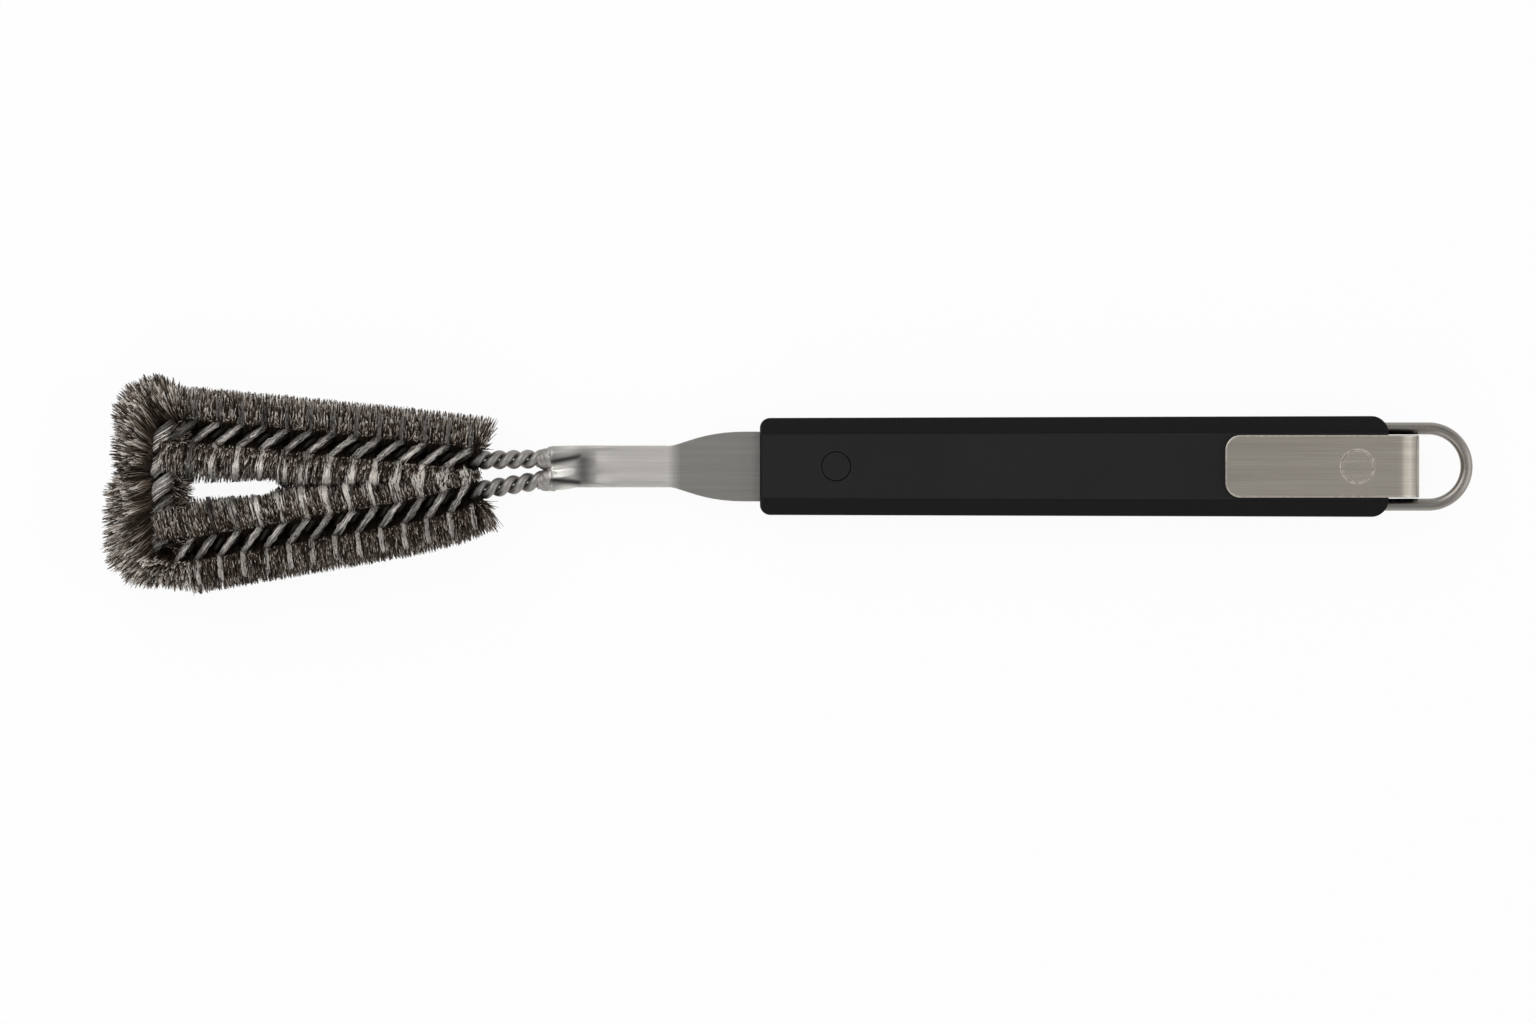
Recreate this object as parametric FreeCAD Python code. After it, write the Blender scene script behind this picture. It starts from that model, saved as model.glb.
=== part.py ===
"""Grill-cleaning wire brush with a triangular twisted-wire head and a moulded handle.

The brush lies flat along X: the head points towards -X and the hanging loop towards +X.
While the parts are made, the origin is the middle of the handle's front face, and the
handle's parting plane is Z = 0.  At the end every part is shifted so that the origin is
the bottom centre of the whole brush.  "Right" and "left" are those of a user who holds
the handle with the head pointing away: right is +Y.
"""
import FreeCAD
import Part
import math
import os

V = FreeCAD.Vector
UP = V(0, 0, 1)

# ---------------------------------------------------------------- driving dimensions (mm)
# Handle, moulded in two equal shells
handle_length = 205.5
handle_front_width = 31.8
handle_rear_width = 33.1
handle_height = 20.0
handle_bevel = 5.4
handle_edge_radius = 1.2
handle_front_corner_radius = 3.4
handle_rear_corner_radius = 5.2
handle_end_chamfer = 0.6
groove_width = 0.3
groove_depth = 0.25
shell_wall = 3.2
rib_thickness = 2.4
rib_spacing = 21.0
pocket_start = 36.0
pocket_end_margin = 21.5

# Shank, pressed from one steel strip, and its tang inside the handle
strip_thickness = 2.0
strip_narrow_width = 13.6
strip_wide_width = 22.9
tang_width = 15.0
tang_end_margin = 19.5
tang_shoulder = 9.0
shoulder_length = 5.0
flare_length = 24.5
flare_start = 29.5
flare_front_reach = 4.5
flare_front_rise = 0.5
flare_rear_reach = 14.0
pitch_start = 28.0
pitch_end = 54.0
bend_radius = 9.0
peg_hole_radius = 2.8
peg_boss_wall = 2.2
peg_engagement = 4.0
front_peg_position = 78.0
rear_peg_margin = 36.0

# Two-lobed socket that grips the ends of the twisted core
socket_mouth = 69.0
socket_depth = 5.0
socket_tail = 16.0
socket_wall = 0.6
socket_shoulder = 9.5
socket_fade = 3.0
socket_floor = 2.0

# Twisted core of the head
strand_diameter = 3.0
bristle_wire = 0.3
twist_half_pitch = 5.15
core_pair_spacing = 6.6
core_pair_offset = -0.75
neck_end = 92.4
neck_right_y = 2.0
neck_left_y = -7.9
corner_x = 195.4
corner_right_y = 12.6
corner_left_y = -29.0
corner_bend_radius = 7.0
corner_chord_count = 2

# Bristle fill
bristle_radius = 15.0
bristle_core_gap = 0.3
right_tuft_forward = 2.9
right_tuft_spread = 3.6
right_tuft_length = 7.0
left_tuft_forward = 5.8
left_tuft_rise = 3.0
left_tuft_length = 14.5
tuft_notch_y = -1.15
tuft_depth = 8.0
fill_parting = 0.3

# Clamp bolt, nut and plugs near the front of the handle
bolt_position = 24.9
bolt_radius = 2.0
bolt_head_radius = 3.6
bolt_head_height = 2.2
nut_across_flats = 7.0
nut_height = 3.2
hex_key_flats = 2.5
hex_key_depth = 1.3
plug_radius = 4.85
plug_thickness = 1.8
plug_bevel = 0.3
washer_radius = 4.2
washer_thickness = 0.8

# Strap clip folded over the rear of the handle
strap_thickness = 1.5
strap_width = 20.4
strap_length = 64.0
strap_overhang = 10.5
strap_fold_radius = 7.5
strap_corner_radius = 5.0
strap_edge_radius = 0.35

# Two-piece rivet through the strap and the handle
rivet_margin = 10.3
rivet_head_radius = 5.1
rivet_tube_radius = 2.0
rivet_pin_radius = 1.1
rivet_sink_depth = 1.1
rivet_groove = 0.35
rivet_rim_height = 0.4
rivet_rim_step = 0.2
rivet_cone_flare = 1.4
rivet_head_overlap = 0.5
rivet_tube_margin = 1.0
rivet_bore_margin = 3.0

# Hanging loop
loop_wire = 4.0
loop_side_gap = 0.3
loop_bow_reach = 13.9
loop_bar_inset = 4.4
loop_corner_radius = 3.8
loop_swing = 30.0

# Clearances
fit_gap = 0.1
seat_gap = 0.2
moving_gap = 0.3
bar_running_gap = 0.08
pin_gap = 0.02
overshoot = 1.0

# ---------------------------------------------------------------- sizes that follow
half_height = handle_height / 2
half_strip = strip_thickness / 2
pocket_end = handle_length - pocket_end_margin
tang_length = handle_length - tang_end_margin
peg_positions = (front_peg_position, tang_length - rear_peg_margin)
peg_boss_radius = peg_hole_radius + peg_boss_wall
head_rise = bristle_radius - half_height - strap_thickness
strand_radius = strand_diameter / 2
strand_offset = strand_radius + bristle_wire / 2
knuckle_radius = 1.04 * strand_radius
core_radius = strand_offset + strand_radius
core_bore = core_radius + bristle_core_gap
socket_bore = core_radius + fit_gap
loop_radius = loop_wire / 2
loop_leg_y = strap_width / 2 + loop_side_gap + loop_radius
loop_bar_x = handle_length - loop_bar_inset
loop_bow_centre = handle_length + loop_bow_reach
rivet_position = handle_length - rivet_margin
strap_end = handle_length + strap_overhang
strap_front = strap_end - strap_length
strap_top = half_height + strap_thickness
big = 4 * (handle_length + corner_x)


# ---------------------------------------------------------------- small tools
def box(x0, x1, y0, y1, z0, z1):
    return Part.makeBox(x1 - x0, y1 - y0, z1 - z0, V(x0, y0, z0))


def half_space(point, normal):
    """A very large block that fills the side of the plane which normal points to."""
    block = Part.makeBox(big, big, big, V(-big / 2, -big / 2, 0))
    block.Placement = FreeCAD.Placement(point, FreeCAD.Rotation(UP, normal))
    return block


def prism_y(points, y0, y1):
    """Extrude a closed outline of (x, z) points from y0 to y1."""
    corners = [V(x, y0, z) for x, z in points]
    face = Part.Face(Part.makePolygon(corners + corners[:1]))
    return face.extrude(V(0, y1 - y0, 0))


def rod(start, end, radius):
    return Part.makeCylinder(radius, start.distanceToPoint(end), start, end - start)


def edges_along(shape, direction, test):
    """Straight edges of shape that run along direction and whose middle passes test."""
    found = []
    for edge in shape.Edges:
        first = edge.Vertexes[0].Point
        last = edge.Vertexes[-1].Point
        run = last - first
        if run.Length < 1e-6 or edge.Length > run.Length * 1.0001:
            continue
        if abs(run.normalize().dot(direction)) > 0.99 and test((first + last) * 0.5):
            found.append(edge)
    return found


def hexagon(across_flats, height, base):
    """A hexagonal prism that stands on base."""
    reach = across_flats / math.sqrt(3)
    corners = []
    for step in range(7):
        turn = math.radians(60 * step)
        corners.append(base + V(reach * math.cos(turn), reach * math.sin(turn), 0))
    return Part.Face(Part.makePolygon(corners)).extrude(V(0, 0, height))


def upright(radius, x, z0, z1):
    """A vertical round bar on the handle's centre line."""
    return Part.makeCylinder(radius, z1 - z0, V(x, 0, z0), UP)


def flipped(shape):
    """The same shape turned upside down about the handle's axis."""
    copy = shape.copy()
    copy.rotate(V(0, 0, 0), V(1, 0, 0), 180)
    return copy


def corner_arc(before, corner, after, radius):
    """The arc that rounds a corner: its start, its centre and its turn in degrees."""
    towards = (before - corner).normalize()
    away = (after - corner).normalize()
    half_angle = math.acos(max(-1.0, min(1.0, towards.dot(away)))) / 2
    centre = corner + (towards + away).normalize() * (radius / math.sin(half_angle))
    start = corner + towards * (radius / math.tan(half_angle))
    return start, centre, 180 - 2 * math.degrees(half_angle)


# ---------------------------------------------------------------- twisted core
def bend_points(before, corner, after, radius, chords):
    """Points along a rounded corner of the core, from one straight run to the next."""
    first, centre, turn = corner_arc(before, corner, after, radius)
    side = 1 if (corner - before).cross(after - corner).z > 0 else -1
    points = []
    for step in range(chords + 1):
        swing = FreeCAD.Rotation(UP, side * turn * step / chords)
        points.append(centre + swing.multVec(first - centre))
    return points


def core_path():
    """The line that the twisted core follows, from its right end to its left end."""
    right_y = core_pair_offset + core_pair_spacing / 2
    left_y = core_pair_offset - core_pair_spacing / 2
    socket_end = -(socket_mouth - socket_depth) + strand_radius
    right_neck = V(-neck_end, neck_right_y, head_rise)
    left_neck = V(-neck_end, neck_left_y, head_rise)
    right_corner = V(-corner_x, corner_right_y, head_rise)
    left_corner = V(-corner_x, corner_left_y, head_rise)
    path = [V(socket_end, right_y, head_rise), V(-socket_mouth, right_y, head_rise), right_neck]
    path += bend_points(right_neck, right_corner, left_corner, corner_bend_radius, corner_chord_count)
    path += bend_points(right_corner, left_corner, left_neck, corner_bend_radius, corner_chord_count)
    path += [left_neck, V(-socket_mouth, left_y, head_rise), V(socket_end, left_y, head_rise)]
    return path


def twisted_strand(path, first_side):
    """One wire of the pair.  It starts above (1) or below (-1) the core line, and every
    straight run holds a whole number of half turns, so the wires meet at each bend."""
    side = first_side
    pieces = []
    for start, end in zip(path[:-1], path[1:]):
        length = start.distanceToPoint(end)
        half_turns = max(1, round(length / twist_half_pitch))
        pitch = 2 * length / half_turns
        helix = Part.makeHelix(pitch, length, strand_offset, 0, True)
        tangent = V(0, -2 * math.pi * strand_offset, pitch)
        section = Part.Wire(Part.makeCircle(strand_radius, V(strand_offset, 0, 0), tangent))
        run = Part.Wire(helix).makePipeShell([section], True, True)
        along = (end - start).normalize()
        outward = UP * side
        across = along.cross(outward)
        frame = FreeCAD.Matrix(outward.x, across.x, along.x, start.x,
                               outward.y, across.y, along.y, start.y,
                               outward.z, across.z, along.z, start.z,
                               0, 0, 0, 1)
        run.Placement = FreeCAD.Placement(frame)
        pieces.append(run)
        if half_turns % 2:
            side = -side
        if end is not path[-1]:
            pieces.append(Part.makeSphere(knuckle_radius, end + UP * side * strand_offset))
    strand = pieces[0]
    for piece in pieces[1:]:
        strand = strand.fuse(piece)
    return strand.common(half_space(V(-(socket_mouth - socket_depth + fit_gap), 0, 0), V(-1, 0, 0)))


def core_channel(path, radius):
    """The round channel that the core takes up inside the bristles."""
    pieces = [rod(a, b, radius) for a, b in zip(path[1:-2], path[2:-1])]
    pieces += [Part.makeSphere(radius, point) for point in path[2:-2]]
    return pieces[0].multiFuse(pieces[1:])


# ---------------------------------------------------------------- bristle fill
def capsule(start, end, radius):
    """A round bar with half-round ends, turned in one piece about its axis."""
    length = start.distanceToPoint(end)
    turn = math.sqrt(0.5) * radius
    near = Part.Arc(V(0, 0, -radius), V(turn, 0, -turn), V(radius, 0, 0)).toShape()
    side = Part.makeLine(V(radius, 0, 0), V(radius, 0, length))
    far = Part.Arc(V(radius, 0, length), V(turn, 0, length + turn), V(0, 0, length + radius)).toShape()
    axis = Part.makeLine(V(0, 0, length + radius), V(0, 0, -radius))
    bar = Part.Face(Part.Wire([near, side, far, axis])).revolve(V(0, 0, 0), UP, 360)
    bar.Placement = FreeCAD.Placement(start, FreeCAD.Rotation(UP, end - start))
    return bar


def bristle_solids(path):
    """Outer shape of the wire fill: two straight arms and two corner tufts."""
    channel = core_channel(path, core_bore)
    right_neck = path[2]
    left_neck = path[-3]
    right_corner = V(-corner_x, corner_right_y, head_rise)
    left_corner = V(-corner_x, corner_left_y, head_rise)
    gap = fill_parting / 2

    middle_neck = (right_neck + left_neck) * 0.5
    middle_front = (right_corner + left_corner) * 0.5
    middle_normal = UP.cross(middle_neck - middle_front).normalize()
    right_side = half_space(middle_neck + middle_normal * gap, middle_normal)
    left_side = half_space(middle_neck - middle_normal * gap, middle_normal * -1)
    joint_x = -corner_x + tuft_depth
    behind = half_space(V(joint_x + gap, 0, 0), V(1, 0, 0))
    ahead = half_space(V(joint_x - gap, 0, 0), V(-1, 0, 0))

    solids = {}
    solids["bristles_right_arm"] = rod(right_neck, right_corner, bristle_radius).common(
        right_side).common(behind).cut(channel)
    solids["bristles_left_arm"] = rod(left_neck, left_corner, bristle_radius).common(
        left_side).common(behind).cut(channel)

    right_tip = right_corner + V(-right_tuft_forward, right_tuft_spread, 0)
    right_inner = right_tip - V(0, right_tuft_length, 0)
    left_tip = left_corner + V(-left_tuft_forward, left_tuft_rise, 0)
    left_inner = left_tip + V(0, left_tuft_length, 0)
    upper = half_space(V(0, tuft_notch_y + gap, 0), V(0, 1, 0))
    lower = half_space(V(0, tuft_notch_y - gap, 0), V(0, -1, 0))
    solids["bristles_right_tuft"] = capsule(right_tip, right_inner, bristle_radius).common(
        ahead).common(upper).cut(channel)
    solids["bristles_left_tuft"] = capsule(left_tip, left_inner, bristle_radius).common(
        ahead).common(lower).cut(channel)
    return solids


# ---------------------------------------------------------------- shank
def strip_edge(level):
    """One face of the strip seen from the side, from the tang's end to the socket."""
    front = -(socket_mouth - socket_depth - socket_floor)
    stops = [V(tang_length, 0, level), V(-pitch_start, 0, level),
             V(-pitch_end, 0, level + head_rise), V(front, 0, level + head_rise)]
    edges = []
    reached = stops[0]
    for before, corner, after in zip(stops[:-2], stops[1:-1], stops[2:]):
        start, centre, _ = corner_arc(before, corner, after, bend_radius)
        middle = centre + (corner - centre).normalize() * bend_radius
        end = corner + (after - corner).normalize() * start.distanceToPoint(corner)
        edges.append(Part.makeLine(reached, start))
        edges.append(Part.Arc(start, middle, end).toShape())
        reached = end
    edges.append(Part.makeLine(reached, stops[-1]))
    return edges


def strip_ribbon():
    """The strip seen from the side: level in the handle, pitched up to the socket."""
    front = -(socket_mouth - socket_depth - socket_floor)
    ends = [Part.makeLine(V(tang_length, 0, -half_strip), V(tang_length, 0, half_strip)),
            Part.makeLine(V(front, 0, head_rise - half_strip), V(front, 0, head_rise + half_strip))]
    edges = strip_edge(-half_strip) + strip_edge(half_strip) + ends
    face = Part.Face(Part.Wire(Part.__sortEdges__(edges)))
    face.translate(V(0, -strip_wide_width, 0))
    return face.extrude(V(0, 2 * strip_wide_width, 0))


def strip_outline():
    """The strip seen from above, drawn for one side and mirrored."""
    narrow = strip_narrow_width / 2
    wide = strip_wide_width / 2
    tang = tang_width / 2
    front = -(socket_mouth - socket_depth - socket_floor)
    flare_end = -flare_start + flare_length
    curve = Part.BezierCurve()
    curve.setPoles([V(-flare_start, narrow, 0),
                    V(-flare_start + flare_front_reach, narrow + flare_front_rise, 0),
                    V(flare_end - flare_rear_reach, wide, 0), V(flare_end, wide, 0)])
    corners = [V(flare_end, wide, 0), V(tang_shoulder, wide, 0),
               V(tang_shoulder + shoulder_length, tang, 0), V(tang_length, tang, 0)]
    upper = [Part.makeLine(V(front, narrow, 0), V(-flare_start, narrow, 0)), curve.toShape()]
    upper += [Part.makeLine(a, b) for a, b in zip(corners[:-1], corners[1:])]
    lower = [edge.mirror(V(0, 0, 0), V(0, 1, 0)) for edge in upper]
    ends = [Part.makeLine(V(front, narrow, 0), V(front, -narrow, 0)),
            Part.makeLine(V(tang_length, tang, 0), V(tang_length, -tang, 0))]
    wire = Part.Wire(Part.__sortEdges__(upper + lower + ends))
    face = Part.Face(wire)
    face.translate(V(0, 0, -half_height))
    return face.extrude(V(0, 0, handle_height + 2 * head_rise))


def socket_lobe(y):
    """One closed lobe, round at its mouth and fading into the strip like a teardrop."""
    mouth_radius = socket_bore + socket_wall
    mouth = -socket_mouth
    tail = mouth + socket_tail
    profile = Part.BezierCurve()
    profile.setPoles([V(mouth, y + mouth_radius, head_rise),
                      V(mouth + socket_shoulder, y + mouth_radius, head_rise),
                      V(tail - socket_fade, y + half_strip, head_rise),
                      V(tail, y + half_strip * 0.5, head_rise)])
    axis_mouth = V(mouth, y, head_rise)
    axis_tail = V(tail, y, head_rise)
    edges = [profile.toShape(), Part.makeLine(V(tail, y + half_strip * 0.5, head_rise), axis_tail),
             Part.makeLine(axis_tail, axis_mouth),
             Part.makeLine(axis_mouth, V(mouth, y + mouth_radius, head_rise))]
    face = Part.Face(Part.Wire(edges))
    return face.revolve(axis_mouth, V(1, 0, 0), 360)


def make_shank():
    shank = strip_ribbon().common(strip_outline())
    for side in (1, -1):
        y = core_pair_offset + side * core_pair_spacing / 2
        shank = shank.fuse(socket_lobe(y))
    for side in (1, -1):
        y = core_pair_offset + side * core_pair_spacing / 2
        start = V(-socket_mouth - overshoot, y, head_rise)
        shank = shank.cut(rod(start, start + V(socket_depth + overshoot, 0, 0), socket_bore))
    shank = shank.cut(upright(bolt_radius + fit_gap, bolt_position, -big, big))
    for position in peg_positions:
        shank = shank.cut(upright(peg_hole_radius, position, -big, big))
    return shank


# ---------------------------------------------------------------- handle
def bevelled_section(x, width, inset):
    """The handle's eight-sided section at x, drawn in evenly by inset."""
    half = width / 2 - inset
    top = half_height - inset
    b = handle_bevel - (2 - math.sqrt(2)) * inset
    points = [V(x, half, top - b), V(x, half - b, top), V(x, -half + b, top), V(x, -half, top - b),
              V(x, -half, -top + b), V(x, -half + b, -top), V(x, half - b, -top),
              V(x, half, -top + b)]
    return Part.makePolygon(points + points[:1])


def handle_outline(inset, z0, z1):
    """Tapered plan of the handle with its four rounded corners, drawn in by inset."""
    front = handle_front_width / 2 - inset
    rear = handle_rear_width / 2 - inset
    end = handle_length - inset
    corners = [V(inset, -front, z0), V(end, -rear, z0), V(end, rear, z0), V(inset, front, z0)]
    block = Part.Face(Part.makePolygon(corners + corners[:1])).extrude(V(0, 0, z1 - z0))
    front_edges = edges_along(block, UP, lambda p: p.x < handle_length / 2)
    block = block.makeFillet(handle_front_corner_radius - inset, front_edges)
    rear_edges = edges_along(block, UP, lambda p: p.x > handle_length / 2)
    return block.makeFillet(handle_rear_corner_radius - inset, rear_edges)


def front_chamfer():
    """A funnel that trims the sharp edge all round the handle's front face."""
    reach = handle_length + overshoot
    sections = [bevelled_section(0, handle_front_width, handle_end_chamfer),
                bevelled_section(reach, handle_front_width, handle_end_chamfer - reach)]
    return Part.makeLoft(sections, True, True)


def parting_groove():
    """The fine line round the handle where the two shells meet."""
    half = groove_width / 2
    end = handle_length + overshoot
    slab = box(-overshoot, end, -handle_rear_width, handle_rear_width, -half, half)
    return slab.cut(handle_outline(groove_depth, -half - overshoot, half + overshoot))


def handle_nose():
    """The block between the loop's legs that the strap is folded around."""
    end = strap_end - strap_thickness - seat_gap
    half = strap_width / 2 - seat_gap
    nose = box(handle_length - 2 * overshoot, end, -half, half, -half_height, half_height)
    folds = edges_along(nose, V(0, 1, 0), lambda p: p.x > end - overshoot)
    return nose.makeFillet(strap_fold_radius - strap_thickness, folds)


def loop_pockets():
    """Space for the loop's cross bar and for its legs over their whole swing."""
    wall = loop_radius + moving_gap
    swing = math.radians(loop_swing + 1)
    reach = loop_bar_inset * 3
    rise = wall * math.cos(swing)
    back = wall * math.sin(swing)
    far_x = reach * math.cos(swing)
    far_z = reach * math.sin(swing)
    fan = [(loop_bar_x - back, rise), (loop_bar_x - back + far_x, rise + far_z),
           (loop_bar_x - back + far_x, -rise - far_z), (loop_bar_x - back, -rise)]
    outer = loop_leg_y + wall
    inner = loop_leg_y - wall
    root = loop_leg_y - loop_corner_radius - moving_gap
    root_reach = loop_corner_radius + loop_radius
    axis_start = V(loop_bar_x, root, 0)
    pockets = prism_y(fan, inner, outer)
    pockets = pockets.fuse(Part.makeCylinder(wall, outer - root, axis_start, V(0, 1, 0)))
    root_disc = Part.makeCylinder(root_reach, inner - root, axis_start, V(0, 1, 0))
    pockets = pockets.fuse(prism_y(fan, root, inner).common(root_disc))
    mirrored = pockets.mirror(V(0, 0, 0), V(0, 1, 0))
    channel = Part.makeCylinder(loop_radius + bar_running_gap, 2 * root, V(loop_bar_x, -root, 0),
                                V(0, 1, 0))
    return pockets.fuse(mirrored).fuse(channel)


def tang_recess():
    """The flat slot between the two shells that the tang lies in."""
    wide = strip_wide_width / 2 + fit_gap
    tang = tang_width / 2 + fit_gap
    depth = half_strip + fit_gap / 2
    shoulder = tang_shoulder + fit_gap
    outline = [V(-overshoot, wide, -depth), V(shoulder, wide, -depth),
               V(shoulder + shoulder_length, tang, -depth), V(tang_length + fit_gap, tang, -depth),
               V(tang_length + fit_gap, -tang, -depth), V(shoulder + shoulder_length, -tang, -depth),
               V(shoulder, -wide, -depth), V(-overshoot, -wide, -depth)]
    return Part.Face(Part.makePolygon(outline + outline[:1])).extrude(V(0, 0, 2 * depth))


def shell_pockets():
    """Hollows on the parting side of the shells, with cross ribs left between them."""
    width = handle_front_width / 2 - handle_bevel / 2 - shell_wall
    depth = half_height - shell_wall
    pockets = []
    x = pocket_start
    while x + rib_spacing - rib_thickness < pocket_end:
        end = x + rib_spacing - rib_thickness
        pocket = box(x, end, -width, width, -depth, depth)
        for peg in peg_positions:
            if x - peg_boss_radius < peg < end + peg_boss_radius:
                pocket = pocket.cut(upright(peg_boss_radius, peg, -depth, depth))
        pockets.append(pocket)
        x += rib_spacing
    return Part.makeCompound(pockets)


def fastener_holes():
    """Bolt hole with its head and nut seats and plug seats, and the rivet hole."""
    top = half_height
    head_seat = top - plug_thickness - bolt_head_height - washer_thickness - seat_gap
    nut_seat = -top + plug_thickness + nut_height + seat_gap
    above = top + overshoot
    hole = upright(bolt_radius + fit_gap, bolt_position, -above, above)
    hole = hole.fuse(upright(washer_radius + fit_gap, bolt_position, head_seat, above))
    nut_base = V(bolt_position, 0, -above)
    hole = hole.fuse(hexagon(nut_across_flats + 2 * fit_gap, nut_seat + above, nut_base))
    for z0, z1 in ((top - plug_thickness, above), (-above, -top + plug_thickness)):
        hole = hole.fuse(upright(plug_radius + fit_gap, bolt_position, z0, z1))
    return hole.fuse(upright(rivet_tube_radius + fit_gap, rivet_position, -above, above))


def handle_shells():
    sections = [bevelled_section(0, handle_front_width, 0),
                bevelled_section(handle_length, handle_rear_width, 0)]
    block = Part.makeLoft(sections, True, True)
    long_edges = edges_along(block, V(1, 0, 0), lambda p: True)
    block = block.makeFillet(handle_edge_radius, long_edges)
    block = block.common(handle_outline(0, -half_height - overshoot, half_height + overshoot))
    block = block.common(front_chamfer())
    block = block.cut(parting_groove()).fuse(handle_nose())
    for cutter in (loop_pockets(), tang_recess(), shell_pockets(), fastener_holes()):
        block = block.cut(cutter)
    top = block.common(half_space(V(0, 0, 0), UP))
    bottom = block.common(half_space(V(0, 0, 0), V(0, 0, -1)))
    peg_height = half_strip + peg_engagement
    for position in peg_positions:
        base = -half_strip - fit_gap
        peg = upright(peg_hole_radius - fit_gap, position, base, peg_height)
        socket = upright(peg_hole_radius, position, -overshoot, peg_height + seat_gap)
        bottom = bottom.fuse(peg)
        top = top.cut(socket)
    return top, bottom


# ---------------------------------------------------------------- fasteners
def make_bolt():
    top = half_height - plug_thickness - seat_gap
    under_head = top - bolt_head_height
    tip = -half_height + plug_thickness + seat_gap
    bolt = upright(bolt_head_radius, bolt_position, under_head, top)
    bolt = bolt.fuse(upright(bolt_radius, bolt_position, tip, under_head))
    key_base = V(bolt_position, 0, top - hex_key_depth)
    key = hexagon(hex_key_flats, hex_key_depth + overshoot, key_base)
    return bolt.cut(key)


def make_washer():
    """A flat washer that spreads the bolt head's load on the plastic."""
    top = half_height - plug_thickness - seat_gap - bolt_head_height
    base = top - washer_thickness
    washer = upright(washer_radius, bolt_position, base, top)
    bore = upright(bolt_radius + fit_gap, bolt_position, base - overshoot, top + overshoot)
    return washer.cut(bore)


def make_nut():
    base = -half_height + plug_thickness + seat_gap
    nut = hexagon(nut_across_flats, nut_height, V(bolt_position, 0, base))
    top = base + nut_height
    return nut.cut(upright(bolt_radius, bolt_position, base - overshoot, top + overshoot))


def make_plug():
    """A press-in cover that lies flush with the handle's face."""
    plug = upright(plug_radius, bolt_position, half_height - plug_thickness, half_height)
    rim = [edge for edge in plug.Edges if edge.BoundBox.ZMin > half_height - 1e-3]
    return plug.makeChamfer(plug_bevel, rim)


def sunk_head(gap):
    """The flush head of the rivet, or its seat in the strap when gap is added."""
    top = strap_top
    sink = top - rivet_sink_depth
    cone = Part.makeCone(rivet_tube_radius + rivet_cone_flare + gap,
                         rivet_head_radius - rivet_rim_step + gap,
                         rivet_sink_depth - rivet_rim_height, V(rivet_position, 0, sink), UP)
    disc = upright(rivet_head_radius + gap, rivet_position, top - rivet_rim_height, top)
    return cone.fuse(disc)


def make_rivet_tube():
    """Upper half of the rivet: a flush head on a tube that runs through the handle."""
    low = -half_height + rivet_tube_margin
    tube = upright(rivet_tube_radius, rivet_position, low, strap_top - rivet_head_overlap)
    tube = tube.fuse(sunk_head(0))
    bore_end = half_height - rivet_bore_margin
    bore = upright(rivet_pin_radius, rivet_position, -strap_top, bore_end)
    return tube.cut(bore)


def make_rivet_pin():
    """Lower half of the rivet: the same head on a pin that is driven into the tube."""
    low = -strap_top + rivet_head_overlap
    tip = half_height - rivet_bore_margin - rivet_tube_margin
    pin = upright(rivet_pin_radius - pin_gap, rivet_position, low, tip)
    return pin.fuse(flipped(sunk_head(0)))


# ---------------------------------------------------------------- strap clip
def lies_on_outside(edge):
    """True for an edge that runs along the strap's outer face and borders its sides."""
    box_of = edge.BoundBox
    middle = edge.valueAt((edge.FirstParameter + edge.LastParameter) / 2)
    on_face = abs(abs(middle.z) - strap_top) < 1e-3
    at_fold = middle.x > strap_end - strap_fold_radius - 1e-3
    outside = on_face or (at_fold and not within_fold(middle))
    crosswise = box_of.YLength > strap_width - 2e-3 and box_of.XLength < 1e-3
    front = abs(box_of.XMax - strap_front) < 1e-3
    return outside and (front or not crosswise)


def within_fold(point):
    """True for a point on the strap's inner face where it is folded."""
    reach = strap_fold_radius - strap_thickness / 2
    across = max(0.0, point.x - (strap_end - strap_fold_radius))
    height = max(0.0, abs(point.z) - (strap_top - strap_fold_radius))
    return math.hypot(across, height) < reach


def make_strap():
    """A steel strap that lies on both faces of the handle and folds round its end."""
    half = strap_width / 2
    outer = box(strap_front, strap_end, -half, half, -strap_top, strap_top)
    folds = edges_along(outer, V(0, 1, 0), lambda p: p.x > strap_end - overshoot)
    outer = outer.makeFillet(strap_fold_radius, folds)
    wide = half + overshoot
    inner_end = strap_end - strap_thickness
    inner = box(strap_front - overshoot, inner_end, -wide, wide, -half_height, half_height)
    folds = edges_along(inner, V(0, 1, 0), lambda p: p.x > inner_end - overshoot)
    inner = inner.makeFillet(strap_fold_radius - strap_thickness, folds)
    strap = outer.cut(inner)
    corners = edges_along(strap, UP, lambda p: p.x < strap_front + overshoot)
    strap = strap.makeFillet(strap_corner_radius, corners)
    rims = [edge for edge in strap.Edges if lies_on_outside(edge)]
    strap = strap.makeFillet(strap_edge_radius, rims)
    seats = sunk_head(rivet_groove).fuse(flipped(sunk_head(rivet_groove)))
    above = strap_top + overshoot
    hole = upright(rivet_tube_radius + fit_gap, rivet_position, -above, above)
    return strap.cut(seats).cut(hole)


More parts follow.
